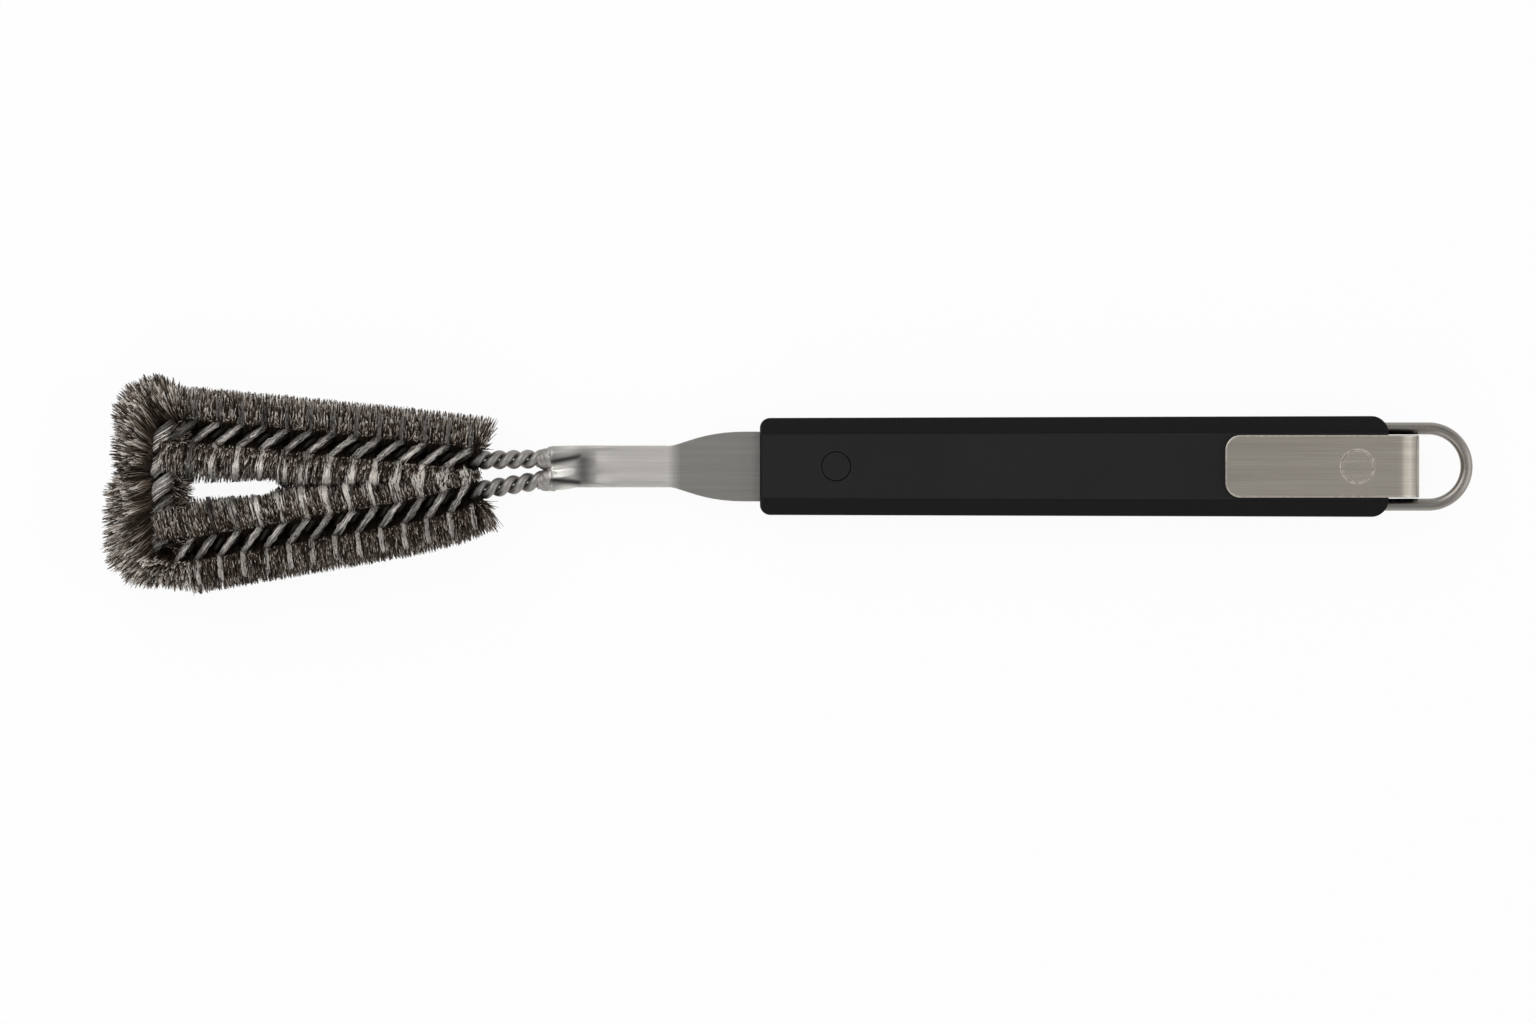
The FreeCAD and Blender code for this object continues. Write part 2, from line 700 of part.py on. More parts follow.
# ---------------------------------------------------------------- hanging loop
def make_loop():
    """A closed loop of round wire: a cross bar, two legs and a half-round bow."""
    leg = loop_leg_y
    bend = loop_corner_radius
    x_bend = loop_bar_x + bend
    pieces = [rod(V(loop_bar_x, bend - leg, 0), V(loop_bar_x, leg - bend, 0), loop_radius)]
    for side in (1, -1):
        pieces.append(rod(V(x_bend, side * leg, 0), V(loop_bow_centre, side * leg, 0), loop_radius))
        corner = Part.makeTorus(bend, loop_radius, V(0, 0, 0), UP, -180, 180, 90)
        corner.rotate(V(0, 0, 0), UP, 90 if side > 0 else 180)
        corner.translate(V(x_bend, side * (leg - bend), 0))
        pieces.append(corner)
    bow = Part.makeTorus(leg, loop_radius, V(0, 0, 0), UP, -180, 180, 180)
    bow.rotate(V(0, 0, 0), UP, -90)
    bow.translate(V(loop_bow_centre, 0, 0))
    pieces.append(bow)
    return pieces[0].multiFuse(pieces[1:]).removeSplitter()


# ---------------------------------------------------------------- the whole brush
def make_parts():
    path = core_path()
    parts = {}
    parts["core_strand_a"] = twisted_strand(path, 1)
    parts["core_strand_b"] = twisted_strand(path, -1)
    parts.update(bristle_solids(path))
    parts["shank"] = make_shank()
    parts["handle_top_shell"], parts["handle_bottom_shell"] = handle_shells()
    parts["clamp_bolt"] = make_bolt()
    parts["clamp_washer"] = make_washer()
    parts["clamp_nut"] = make_nut()
    parts["top_plug"] = make_plug()
    parts["bottom_plug"] = flipped(make_plug())
    parts["strap_clip"] = make_strap()
    parts["rivet_tube"] = make_rivet_tube()
    parts["rivet_pin"] = make_rivet_pin()
    parts["hanging_loop"] = make_loop()
    return parts


def main():
    os.makedirs("parts", exist_ok=True)
    parts = make_parts()
    bounds = Part.makeCompound(list(parts.values())).optimalBoundingBox(False, False)
    origin = V((bounds.XMin + bounds.XMax) / 2, (bounds.YMin + bounds.YMax) / 2, bounds.ZMin)
    for name, shape in parts.items():
        placed = shape.copy()
        placed.translate(origin * -1)
        placed.exportStep("parts/" + name + ".step")
    print("origin shift", origin * -1, "size", bounds.XLength, bounds.YLength, bounds.ZLength)


main()
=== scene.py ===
"""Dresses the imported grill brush: its wire fill, its steel and its moulded handle.

The file is laid out as a Blender add-on.  Each operator makes one piece or one group of
like pieces, and the panel lists them.  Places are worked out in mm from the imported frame's
boxes, and meshes are in metres.  X runs from the bristle head to the hanging loop, Y towards
the right arm and Z up.
"""
import math
import bpy
import numpy as np
from bpy.props import FloatProperty, FloatVectorProperty, IntProperty, PointerProperty
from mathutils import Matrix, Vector


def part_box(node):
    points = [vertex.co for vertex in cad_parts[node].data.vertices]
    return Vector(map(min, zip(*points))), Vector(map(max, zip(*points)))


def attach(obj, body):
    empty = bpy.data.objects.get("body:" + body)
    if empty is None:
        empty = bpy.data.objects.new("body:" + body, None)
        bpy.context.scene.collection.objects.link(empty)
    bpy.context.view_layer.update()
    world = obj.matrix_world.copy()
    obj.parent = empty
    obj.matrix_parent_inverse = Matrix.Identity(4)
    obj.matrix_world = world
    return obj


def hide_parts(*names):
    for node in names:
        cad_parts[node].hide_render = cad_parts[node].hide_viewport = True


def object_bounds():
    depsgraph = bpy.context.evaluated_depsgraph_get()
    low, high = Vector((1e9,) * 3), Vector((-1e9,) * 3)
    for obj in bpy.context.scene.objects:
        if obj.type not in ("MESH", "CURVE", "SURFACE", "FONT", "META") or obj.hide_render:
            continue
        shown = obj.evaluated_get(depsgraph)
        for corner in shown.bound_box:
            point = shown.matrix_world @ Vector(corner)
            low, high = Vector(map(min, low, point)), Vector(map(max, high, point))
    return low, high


bl_info = {
    "name": "Grill Brush",
    "version": (1, 0, 0),
    "blender": (4, 5, 0),
    "location": "View3D > Sidebar > Brush",
    "description": "Wire fill, steel finishes, moulded handle and stage of a grill brush",
    "category": "Object",
}

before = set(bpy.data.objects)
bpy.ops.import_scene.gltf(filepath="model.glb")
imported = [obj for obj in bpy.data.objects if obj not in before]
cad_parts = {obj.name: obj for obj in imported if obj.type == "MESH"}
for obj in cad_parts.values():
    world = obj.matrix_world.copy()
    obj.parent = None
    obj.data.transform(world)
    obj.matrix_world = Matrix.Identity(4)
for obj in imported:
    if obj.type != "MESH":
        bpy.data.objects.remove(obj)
CAD_LOW, CAD_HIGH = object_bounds()
MM = 0.001
BRUSH = "brush"
UP = np.array([0.0, 0.0, 1.0])


# ---------------------------------------------------------------- settings
def length(name, description, default):
    return FloatProperty(name=name, description=description, default=default, min=0.0,
                         unit="LENGTH", subtype="DISTANCE", precision=5)


def share(name, description, default):
    return FloatProperty(name=name, description=description, default=default, min=0.0, max=1.0,
                         subtype="FACTOR")


def number(name, description, default):
    return FloatProperty(name=name, description=description, default=default, min=0.0)


def count(name, description, default):
    return IntProperty(name=name, description=description, default=default, min=1)


def colour(name, description, default):
    return FloatVectorProperty(name=name, description=description, default=default,
                               subtype="COLOR", min=0.0, max=1.0)


class BRUSH_PG_fill(bpy.types.PropertyGroup):
    """The wire fill of the head."""
    wire_diameter: length("Wire diameter", "Thickness of one bristle wire", 0.00033)
    reach: length("Reach", "Distance from the core's line to the bristle tips", 0.015)
    fin_pitch: length("Fin pitch", "Distance along an arm from one fin to the next", 0.0075)
    fin_phase: length("Fin place", "Distance from the head's front to the middle of a fin", 0.0686)
    crimp: length("Crimp", "How far a wire strays from its line", 0.00022)
    fin_width: length("Fin width", "Width of the combed wires in one fin", 0.0022)
    roll_height: length("Roll height", "Height of the rolled roots above the core's line", 0.0062)
    roll_width: length("Roll width", "Width of one rolled root along the arm", 0.0018)
    clump: length("Clump size", "Distance between the clumps that wires gather in", 0.001)
    arm_wires: count("Arm wires", "Bristle ends in each third of an arm's walls", 8800)
    fin_wires: count("Fin wires", "Wires in the fins of one arm", 5600)
    tuft_wires: count("Tuft wires", "Bristle ends on each corner tuft", 7600)
    roll_wires: count("Roll wires", "Wires in each rolled root", 84)
    seed: count("Seed", "Start of the random numbers", 7)
    dark: colour("Dark wire", "Colour of a wire in shade", (0.022, 0.016, 0.011))
    brown: colour("Brown wire", "Colour of a smoked wire", (0.27, 0.208, 0.158))
    grey: colour("Grey wire", "Colour of a combed wire", (0.26, 0.245, 0.23))
    light: colour("Light wire", "Colour of a bright wire", (0.98, 0.925, 0.86))


class BRUSH_PG_finish(bpy.types.PropertyGroup):
    """Colours and roughness of the steel and the plastic."""
    shank: colour("Shank", "Colour of the shank's brushed steel", (0.33, 0.317, 0.30))
    strap: colour("Strap", "Colour of the strap's brushed steel", (0.385, 0.355, 0.31))
    wire: colour("Loop wire", "Colour of the hanging loop", (0.285, 0.264, 0.24))
    core: colour("Core wire", "Colour of the twisted core", (0.30, 0.285, 0.27))
    plated: colour("Plated steel", "Colour of the hidden fasteners", (0.55, 0.54, 0.52))
    plastic: colour("Handle", "Colour of the moulded handle", (0.0172, 0.0174, 0.0179))
    steel_roughness: share("Steel roughness", "Roughness of the brushed steel", 0.34)
    plastic_roughness: share("Handle roughness", "Roughness of the moulded handle", 0.6)
    grain_fineness: number("Grain fineness", "Grain lines to the metre", 5200.0)


class BRUSH_PG_stage(bpy.types.PropertyGroup):
    """Floor, lamps and camera."""
    floor: colour("Floor", "Colour of the floor and the backdrop", (0.92, 0.92, 0.92))
    sky: number("Sky", "Strength of the plain light from above", 0.42)
    key_power: number("Key lamp", "Power of the main lamp in watts", 11.0)
    fill_power: number("Fill lamp", "Power of the second lamp in watts", 6.0)
    rim_power: number("Rim lamp", "Power of the third lamp in watts", 5.0)
    top_power: number("Top lamp", "Power of the lamp above the handle in watts", 0.5)
    camera_height: length("Camera height", "Height of the camera above the floor", 2.4)
    view_width: length("View width", "Width that the camera sees at the brush", 0.50335)


# ---------------------------------------------------------------- places on the brush (mm)
BOW_RISE = 1.2
BOW_RETURN = 8


def in_mm(vector):
    return np.array(vector) / MM


def stacked(*values):
    """Stacks values side by side along a new last axis.  A plain number fills its column."""
    return np.stack(np.broadcast_arrays(*values), axis=-1)


class Arm:
    """One arm of the head, from its front corner to its neck.  Its fill bows outwards a
    little, most of all near the neck.  outward is 1 where its outer side faces +Y, inner_fins
    says how far behind the front its inner fins start and are full, and outer_fins how bright
    the outer ones are."""

    def __init__(self, corner_y, neck_y, outward, bow, outer_tone, inner_fins, outer_fins):
        self.corner = np.array((CORNER_X, corner_y, CORE_Z))
        run = np.array((NECK_X, neck_y, CORE_Z)) - self.corner
        self.length = float(np.linalg.norm(run))
        self.along = run / self.length
        self.across = np.cross(UP, self.along)
        self.outward = outward
        self.bow = bow
        self.outer_tone = outer_tone
        self.inner_fins = inner_fins
        self.outer_fins = outer_fins

    def points(self, t):
        along = np.clip(t / self.length, 0.0, 1.0)
        bowed = self.outward * self.bow * along ** BOW_RISE * (1.0 - along ** BOW_RETURN)
        return (self.corner + np.multiply.outer(t, self.along)
                + np.multiply.outer(bowed, self.across))

    def place(self, t, sideways, upwards):
        """Points beside the arm's line: sideways grows to +Y and upwards to +Z."""
        return (self.points(t) + np.multiply.outer(sideways, self.across)
                + np.multiply.outer(upwards, UP))


FRONT = in_mm(CAD_LOW)[0]
LEFT_SIDE = in_mm(CAD_LOW)[1]
RIGHT_SIDE = in_mm(CAD_HIGH)[1]
CORE_LOW, CORE_HIGH = (in_mm(corner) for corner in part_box("core_strand_a"))
CORE_Z = (CORE_LOW[2] + CORE_HIGH[2]) / 2
CORNER_X = FRONT + 20.8
NECK_X = CORNER_X + 103.0
RIGHT_CORNER_Y = RIGHT_SIDE - 18.6
RIGHT_NECK_Y = RIGHT_CORNER_Y - 10.6
LEFT_CORNER_Y = LEFT_SIDE + 13.64
LEFT_NECK_Y = LEFT_CORNER_Y + 21.1
BEND_X = in_mm(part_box("handle_top_shell")[0])[0] - 28.0
NOTCH_Y = in_mm(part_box("bristles_right_tuft")[0])[1] - 0.15
TUFT_END_X = in_mm(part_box("bristles_right_tuft")[1])[0]
RIGHT_ARM = Arm(RIGHT_CORNER_Y, RIGHT_NECK_Y, 1, 0.5, 0.38, (29.0, 37.0), 0.25)
LEFT_ARM = Arm(LEFT_CORNER_Y, LEFT_NECK_Y, -1, 3.4, 0.15, (38.0, 54.0), 0.6)


# ---------------------------------------------------------------- wire meshes
def unit(vectors):
    return vectors / np.maximum(np.linalg.norm(vectors, axis=-1, keepdims=True), 1e-9)


def new_object(name, data):
    """A new object in the scene."""
    made = bpy.data.objects.new(name, data)
    bpy.context.scene.collection.objects.link(made)
    return made


def set_tone(mesh, tone):
    """Stores the lightness of each point of a mesh for its material."""
    shades = mesh.attributes.new("tone", "FLOAT", "POINT")
    shades.data.foreach_set("value", tone.astype(np.float32))


def wire_mesh(name, paths, radius, tone):
    """A mesh of three-sided closed wires.  paths is (wires, stations, 3) in mm, radius is
    the thickness at each station and tone the lightness at each station of each wire."""
    wires, stations, _ = paths.shape
    tangent = unit(np.gradient(paths, axis=1))
    chord = unit(paths[:, -1] - paths[:, 0] + 1e-6)
    helper = np.where(np.abs(chord[:, 2:3]) < 0.7, UP, np.array([1.0, 0.0, 0.0]))
    side = unit(np.cross(tangent, helper[:, None, :]))
    rise = np.cross(tangent, side)
    rings = []
    for corner in range(3):
        turn = 2 * math.pi * corner / 3
        offset = math.cos(turn) * side + math.sin(turn) * rise
        rings.append(paths + offset * radius[None, :, None])
    points = np.stack(rings, axis=2).reshape(-1, 3) * MM

    base = np.arange(wires)[:, None, None] * stations * 3
    step = np.arange(stations - 1)[None, :, None] * 3
    near = np.arange(3)[None, None, :]
    far = (near + 1) % 3
    quads = np.stack([base + step + near, base + step + far,
                      base + step + 3 + far, base + step + 3 + near], axis=-1).reshape(-1, 4)
    starts = np.arange(wires)[:, None] * stations * 3
    first = starts + np.array([[2, 1, 0]])
    last = starts + (stations - 1) * 3 + np.array([[0, 1, 2]])
    caps = np.concatenate([first, last])
    loops = np.concatenate([quads.ravel(), caps.ravel()])
    loop_starts = np.concatenate([np.arange(len(quads)) * 4,
                                  len(quads) * 4 + np.arange(len(caps)) * 3])

    mesh = bpy.data.meshes.new(name)
    mesh.vertices.add(len(points))
    mesh.vertices.foreach_set("co", points.ravel().astype(np.float32))
    mesh.loops.add(len(loops))
    mesh.loops.foreach_set("vertex_index", loops.astype(np.int32))
    mesh.polygons.add(len(loop_starts))
    mesh.polygons.foreach_set("loop_start", loop_starts.astype(np.int32))
    mesh.update(calc_edges=True)
    mesh.polygons.foreach_set("use_smooth", np.ones(len(loop_starts), bool))
    set_tone(mesh, np.repeat(tone.ravel(), 3))
    return new_object(name, mesh)


TIP_STRAY = 0.5
CLUMP_NUMBERS = 9973
ROW_PRIME = 7919
COLUMN_PRIME = 104729
CLUMP_MARGIN = 0.2
TUFT_SIZE = 2.1
TUFT_PULL = 0.35
CLUMP_PULL = 0.82
TONE_SPREAD = 0.06
DARKEST = 0.02
CLUMP_CONTRAST = 5.0
BRIGHT_CHANCE = 0.11
BRIGHT_LIFT = 0.5


def crimped(paths, amount, rng):
    """The same wires with their inner stations pushed a little out of line."""
    stray = rng.normal(0.0, 1.0, paths.shape) * amount
    stray[:, 0] = 0.0
    stray[:, -1] *= TIP_STRAY
    return paths + stray


def gathered(first, second, cell, pull, rng):
    """Draws pairs of places on a surface towards their clump's middle, and gives each pair
    the random number of its clump."""
    row = np.floor(first / cell)
    column = np.floor(second / cell + 0.5 * (row % 2))
    table = rng.random((CLUMP_NUMBERS, 3))
    clump = (row * ROW_PRIME + column * COLUMN_PRIME) % CLUMP_NUMBERS
    numbers = table[clump.astype(int)]
    spread = 1.0 - 2.0 * CLUMP_MARGIN
    first_middle = (row + CLUMP_MARGIN + spread * numbers[:, 0]) * cell
    second_middle = (column - 0.5 * (row % 2) + CLUMP_MARGIN + spread * numbers[:, 1]) * cell
    return (first + pull * (first_middle - first), second + pull * (second_middle - second),
            numbers[:, 2])


def tufted(first, second, settings, rng):
    """Gathers places into tufts, and the places of a tuft into fine clumps."""
    first, second, tuft = gathered(first, second, TUFT_SIZE * settings.clump / MM, TUFT_PULL, rng)
    first, second, clump = gathered(first, second, settings.clump / MM, CLUMP_PULL, rng)
    return first, second, tuft, clump


def ragged(rng, clump, tuft, by_chance, by_clump, by_tuft):
    """Share of its reach that each wire keeps."""
    return (1.0 - np.abs(rng.normal(0.0, by_chance, len(clump))) - by_clump * clump ** 2
            - by_tuft * tuft ** 2)


def random_tone(rng, middle, clump):
    """Lightness of each wire, from its clump's and its own chance, with a few bright wires."""
    own = rng.normal(0.0, TONE_SPREAD, len(clump))
    bright = BRIGHT_LIFT * (rng.random(len(clump)) < BRIGHT_CHANCE)
    return np.clip(middle * (DARKEST + CLUMP_CONTRAST * clump ** 4) + own + bright, 0.0, 1.0)


def shaded(shade, tones):
    """Lightness at each station of each wire: its own shade times the tones from its root to its
    tip, which are painted shade: darker where the wire sinks towards the core, lighter where it
    reaches the top.
    """
    return np.clip(shade[:, None] * np.array(tones), 0.0, 1.0)


# ---------------------------------------------------------------- the fill of an arm (mm)
VALLEY = 3.7
VALLEY_TOP = 4.4
VALLEY_SLOPE = 1.25
STEEPEST = math.radians(15)
GROOVE = 1.1
GROOVE_ANGLE = math.radians(68)
MIDDLE_OVERLAP = 2.6
SLOT_HALF_WIDTH = 1.7
SLOT_END_X = FRONT + 66.0
SLOT_TAPER = 9.0
FLARE_LENGTH = 7.0
FLARE_REACH = 5.0
INNER_FLARE = 0.3
LEAN = 0.7
ARM_RAGGED = (0.03, 0.07, 0.06)
LEAST_WALL = 0.3
ROOT_DEPTH = 1.5
ROOT_HEIGHT = 0.3
LAUNCH_HEIGHT = 2.6
LAUNCH_SPREAD = 0.05
LAUNCH_HEIGHT_SPREAD = 0.2
WALL_STEPS = np.array([0.0, 0.2, 0.55, 1.0])
# Painted shade along a wall wire: dark at its root by the core, light at its tip.
WALL_PAINTED_SHADING = (0.03, 0.06, 0.2, 1.6)
INNER_WALL_TONE = 0.2

OUTER_FIN_CHANCE = 0.45
OUTER_FIN_SPREAD = 0.12
INNER_FIN_SPREAD = 0.22
OUTER_FIN_REACH = (0.4, 0.8)
INNER_FIN_REACH = (0.72, 0.98)
FIN_LEVEL = (0.96, 1.14)
LEAST_FIN = 0.5
FIN_START = VALLEY * 0.86
FIN_START_HEIGHT = 3.0
FIN_SPLAY = 0.2
FIN_LINE = 0.38
DARK_LINES = 0.22
DARK_LINE_TONE = 0.1
FIN_TONE_SPREAD = 0.08
FIN_STEPS = np.array([0.0, 0.25, 0.5, 0.75, 1.0])
# Painted shade along a fin wire, a little darker at its ends.
FIN_PAINTED_SHADING = (0.75, 1.0, 1.0, 1.0, 0.9)


def surface(across, reach):
    """Height of the fill above the core at a distance across it.  The brush is round, with a
    valley over its core."""
    round_top = np.sqrt(np.maximum(reach ** 2 - across ** 2, 0.0))
    return np.minimum(round_top, VALLEY_TOP + VALLEY_SLOPE * (across - VALLEY))


def fin_strength(x, arm, outer):
    """How bright the fins are at a place along x.  The inner ones only start some way back."""
    start, full = arm.inner_fins
    inner = np.clip((x - FRONT - start) / (full - start), 0.0, 1.0)
    return np.where(outer, arm.outer_fins, inner)


def fin_offset(x, settings):
    """Distance along x from the nearest fin."""
    pitch = settings.fin_pitch / MM
    place = (x - FRONT - settings.fin_phase / MM) / pitch
    return (place - np.round(place)) * pitch


def arm_room(t, outer, reach):
    """How far the fill may reach across: to its own reach, or to the slot between the two
    arms and, where that closes, just past the middle."""
    right = RIGHT_ARM.points(t)
    half = (right[:, 1] - LEFT_ARM.points(t)[:, 1]) / 2
    open_share = np.clip((SLOT_END_X - right[:, 0]) / SLOT_TAPER, 0.0, 1.0)
    gap = open_share * SLOT_HALF_WIDTH - (1.0 - open_share) * MIDDLE_OVERLAP
    return np.where(outer, reach, half - gap)


def arm_paths(arm, wires, settings, rng):
    """Bristle ends of one arm: walls of standing wires on both sides of the core's valley,
    with a groove where each fin lies."""
    reach = settings.reach / MM
    t = rng.uniform(0.0, arm.length, 3 * wires)
    x = arm.points(t)[:, 0]
    outer = rng.random(len(t)) < 0.5
    room = arm_room(t, outer, reach)
    angle = rng.uniform(STEEPEST, math.pi / 2, len(t))
    in_groove = (np.abs(fin_offset(x, settings)) < GROOVE) & (angle < GROOVE_ANGLE)
    in_groove &= fin_strength(x, arm, outer) > 0.0
    kept = rng.random(len(t)) < room / reach
    kept &= ~in_groove & (~outer | (x > TUFT_END_X))
    order = np.flatnonzero(kept)[:wires]
    t, outer, room, angle = (values[order] for values in (t, outer, room, angle))
    wires = len(order)
    up = rng.choice((-1.0, 1.0), wires)
    side = np.where(outer, arm.outward, -arm.outward)

    lean = rng.normal(0.0, LEAN, wires)
    to_end = np.clip(1.0 - (arm.length - t) / FLARE_LENGTH, 0.0, 1.0)
    lean += to_end * rng.uniform(0.0, FLARE_REACH, wires) * np.where(outer, 1.0, INNER_FLARE)
    turn = side * np.where(up > 0, angle, math.pi - angle)
    t_tip, arc, tuft, clump = tufted(t + lean, turn * reach, settings, rng)
    turn = arc / reach
    size = ragged(rng, clump, tuft, *ARM_RAGGED)
    across_tip = np.maximum(np.abs(np.sin(turn)) * room * size, VALLEY + LEAST_WALL)
    height = np.minimum(np.abs(np.cos(turn)) * reach * size, surface(across_tip, reach))

    launch = VALLEY * (1.0 + rng.normal(0.0, LAUNCH_SPREAD, wires))
    launch_height = (LAUNCH_HEIGHT * np.abs(np.cos(turn))
                     + rng.normal(0.0, LAUNCH_HEIGHT_SPREAD, wires))
    across = stacked(-ROOT_DEPTH, launch, 0.5 * (launch + across_tip), across_tip)
    heights = stacked(ROOT_HEIGHT, launch_height, 0.5 * (launch_height + height), height)
    along = t[:, None] + (t_tip - t)[:, None] * WALL_STEPS
    paths = arm.place(along, side[:, None] * across, up[:, None] * heights)
    shade = random_tone(rng, np.where(outer, arm.outer_tone, INNER_WALL_TONE), clump)
    return paths, shaded(shade, WALL_PAINTED_SHADING)


def fin_paths(arm, wires, settings, rng):
    """The fins of one arm: wires that leave the rolled roots and lie along the fill's top."""
    reach = settings.reach / MM
    t = rng.uniform(0.0, arm.length, wires)
    x = arm.points(t)[:, 0]
    fin_number = np.floor(x * MM / settings.fin_pitch).astype(int)
    outer = rng.random(wires) < OUTER_FIN_CHANCE
    spread = np.where(outer, OUTER_FIN_SPREAD, INNER_FIN_SPREAD) * settings.fin_width / MM
    off_line = rng.normal(0.0, 1.0, wires) * spread
    t = t + (off_line - fin_offset(x, settings)) / arm.along[0]
    t = np.clip(t, np.where(outer, TUFT_END_X - arm.corner[0], 0.0), arm.length)
    room = arm_room(t, outer, reach)
    side = np.where(outer, arm.outward, -arm.outward)
    up = rng.choice((-1.0, 1.0), wires)
    level = rng.uniform(*FIN_LEVEL, wires)[:, None]
    tip_share = np.where(outer, rng.uniform(*OUTER_FIN_REACH, wires),
                         rng.uniform(*INNER_FIN_REACH, wires))
    across_tip = np.maximum(room * tip_share, VALLEY + LEAST_FIN)
    across = FIN_START + (across_tip - FIN_START)[:, None] * FIN_STEPS
    start_height = FIN_START_HEIGHT * level
    rise = surface(across, reach) * level
    heights = start_height + (rise - start_height) * np.sqrt(FIN_STEPS)
    along = t[:, None] + off_line[:, None] * FIN_SPLAY * FIN_STEPS
    paths = arm.place(along, side[:, None] * across, up[:, None] * heights)
    line_number = np.floor(off_line / FIN_LINE).astype(int) + 31 * fin_number + 17 * outer
    lines = rng.random(CLUMP_NUMBERS)[line_number % CLUMP_NUMBERS]
    bright = np.where(lines > DARK_LINES, 0.6 + 0.9 * lines, DARK_LINE_TONE)
    strength = fin_strength(arm.points(t)[:, 0], arm, outer)
    shade = np.clip(strength * bright + rng.normal(0.0, FIN_TONE_SPREAD, wires), 0.0, 1.0)
    kept = strength > 0.0
    return paths[kept], shaded(shade, FIN_PAINTED_SHADING)[kept]


# ---------------------------------------------------------------- the fill of the corner tufts
TUFT_TILT = math.radians(66)
TUFT_START_T = 8.5
ROOTS_START_T = 8.0
TUFT_RAGGED = (0.07, 0.12, 0.2)
TUFT_ROOT_SPREAD = 0.04
TUFT_LAUNCH_HEIGHT = 2.4
TUFT_STRAY = 0.3
# Painted shade along a tuft wire: dark at its root, light at its tip.
TUFT_PAINTED_SHADING = (0.0, 0.05, 0.45, 1.6)
FLAT = np.array([1.0, 1.0, 0.0])
BAR_WIRE_INSET = 2.2
BAR_WIRE_HEADING = math.radians(24)
BAR_WIRE_TILT = math.radians(34)
BAR_WIRE_LENGTHS = (3.5, 8.5)
BAR_WIRE_STEPS = np.array([0.0, 0.35, 0.7, 1.0])
BAR_WIRE_TONE = 0.17
# Painted shade along a short bar wire, darker at its root.
BAR_WIRE_PAINTED_SHADING = (0.2, 0.6, 0.9, 1.1)


class Tuft:
    """A fan of wires round one front corner.  Its tips lie round a bent line of centres,
    from the arm's side to the notch, and its roots lie along the core."""

    def __init__(self, arm, tip, inner, notch_turn, root_end_y, middle_tone):
        tip, inner = np.array((*tip, CORE_Z)), np.array((*inner, CORE_Z))
        side = arm.outward * math.atan2(arm.across[1], arm.across[0] * arm.outward)
        self.headings = (side, side, math.pi * arm.outward, math.pi * arm.outward,
                         (math.pi + notch_turn) * arm.outward)
        self.centres = [arm.points(TUFT_START_T), tip, tip, inner, inner]
        self.roots = [arm.points(ROOTS_START_T), arm.corner,
                      np.array((CORNER_X, root_end_y, CORE_Z))]
        self.middle_tone = middle_tone


def steps_between(points):
    return np.array([np.linalg.norm(after - here) for here, after in zip(points, points[1:])])


def along_line(place, reached, points):
    """Points along a line through points, each of which is reached at its place."""
    points = np.stack(points)
    return stacked(*(np.interp(place, reached, points[:, axis]) for axis in range(3)))


def tuft_paths(tuft, wires, settings, rng):
    """Wires that fan out from the corner.  run goes round the tips, from arm to notch."""
    reach = settings.reach / MM
    turns = np.abs(np.diff(tuft.headings)) * reach
    reached = np.concatenate([[0.0], np.cumsum(turns + steps_between(tuft.centres))])
    run = rng.uniform(0.0, reached[-1], wires)
    tilt = rng.uniform(-TUFT_TILT, TUFT_TILT, wires)
    run, rise, tuft_number, clump = tufted(run, tilt * reach, settings, rng)
    tilt = rise / reach
    heading = np.interp(run, reached, tuft.headings)
    centre = along_line(run, reached, tuft.centres)
    size = reach * ragged(rng, clump, tuft_number, *TUFT_RAGGED)
    outwards = stacked(np.cos(heading), np.sin(heading), 0.0)
    tips = (centre + (size * np.cos(tilt))[:, None] * outwards
            + np.multiply.outer(size * np.sin(tilt), UP))

    place = np.clip(run / reached[-1] + rng.normal(0.0, TUFT_ROOT_SPREAD, wires), 0.0, 1.0)
    root_places = np.concatenate([[0.0], np.cumsum(steps_between(tuft.roots))])
    roots = along_line(place, root_places / root_places[-1], tuft.roots)
    toward = unit((tips - roots) * FLAT)
    launch = (roots + VALLEY * toward
              + np.multiply.outer(TUFT_LAUNCH_HEIGHT * np.sin(tilt), UP))
    roots = roots - ROOT_DEPTH * toward
    middle = 0.5 * (launch + tips) + rng.normal(0.0, TUFT_STRAY, (wires, 3))
    paths = np.stack([roots, launch, middle, tips], axis=1)
    return paths, shaded(random_tone(rng, tuft.middle_tone, clump), TUFT_PAINTED_SHADING)


def bar_paths(start_y, end_y, wires, rng):
    """Short wires that point backwards from the front bar, into the head."""
    y = rng.uniform(start_y, end_y, wires)
    heading = rng.normal(0.0, BAR_WIRE_HEADING, wires)
    tilt = rng.normal(0.0, BAR_WIRE_TILT, wires)
    size = rng.uniform(*BAR_WIRE_LENGTHS, wires)
    root = stacked(CORNER_X + BAR_WIRE_INSET, y, CORE_Z)
    way = stacked(np.cos(tilt) * np.cos(heading), np.cos(tilt) * np.sin(heading), np.sin(tilt))
    reached = np.multiply.outer(size, BAR_WIRE_STEPS)[:, :, None]
    shade = random_tone(rng, BAR_WIRE_TONE, rng.random(wires))
    return root[:, None, :] + way[:, None, :] * reached, shaded(shade, BAR_WIRE_PAINTED_SHADING)


RIGHT_TUFT = Tuft(RIGHT_ARM, (CORNER_X - 2.9, RIGHT_CORNER_Y + 3.6),
                  (CORNER_X - 3.2, RIGHT_CORNER_Y - 8.0), math.radians(34),
                  RIGHT_CORNER_Y - 13.5, 0.44)
# The left tuft's middle tone (0.85, against 0.44 on the right) is painted light, making up for the
# key lamp lighting the right side more.
LEFT_TUFT = Tuft(LEFT_ARM, (CORNER_X - 5.8, LEFT_CORNER_Y + 3.0),
                 (CORNER_X - 5.8, LEFT_CORNER_Y + 17.5), math.radians(54),
                 LEFT_CORNER_Y + 27.0, 0.85)


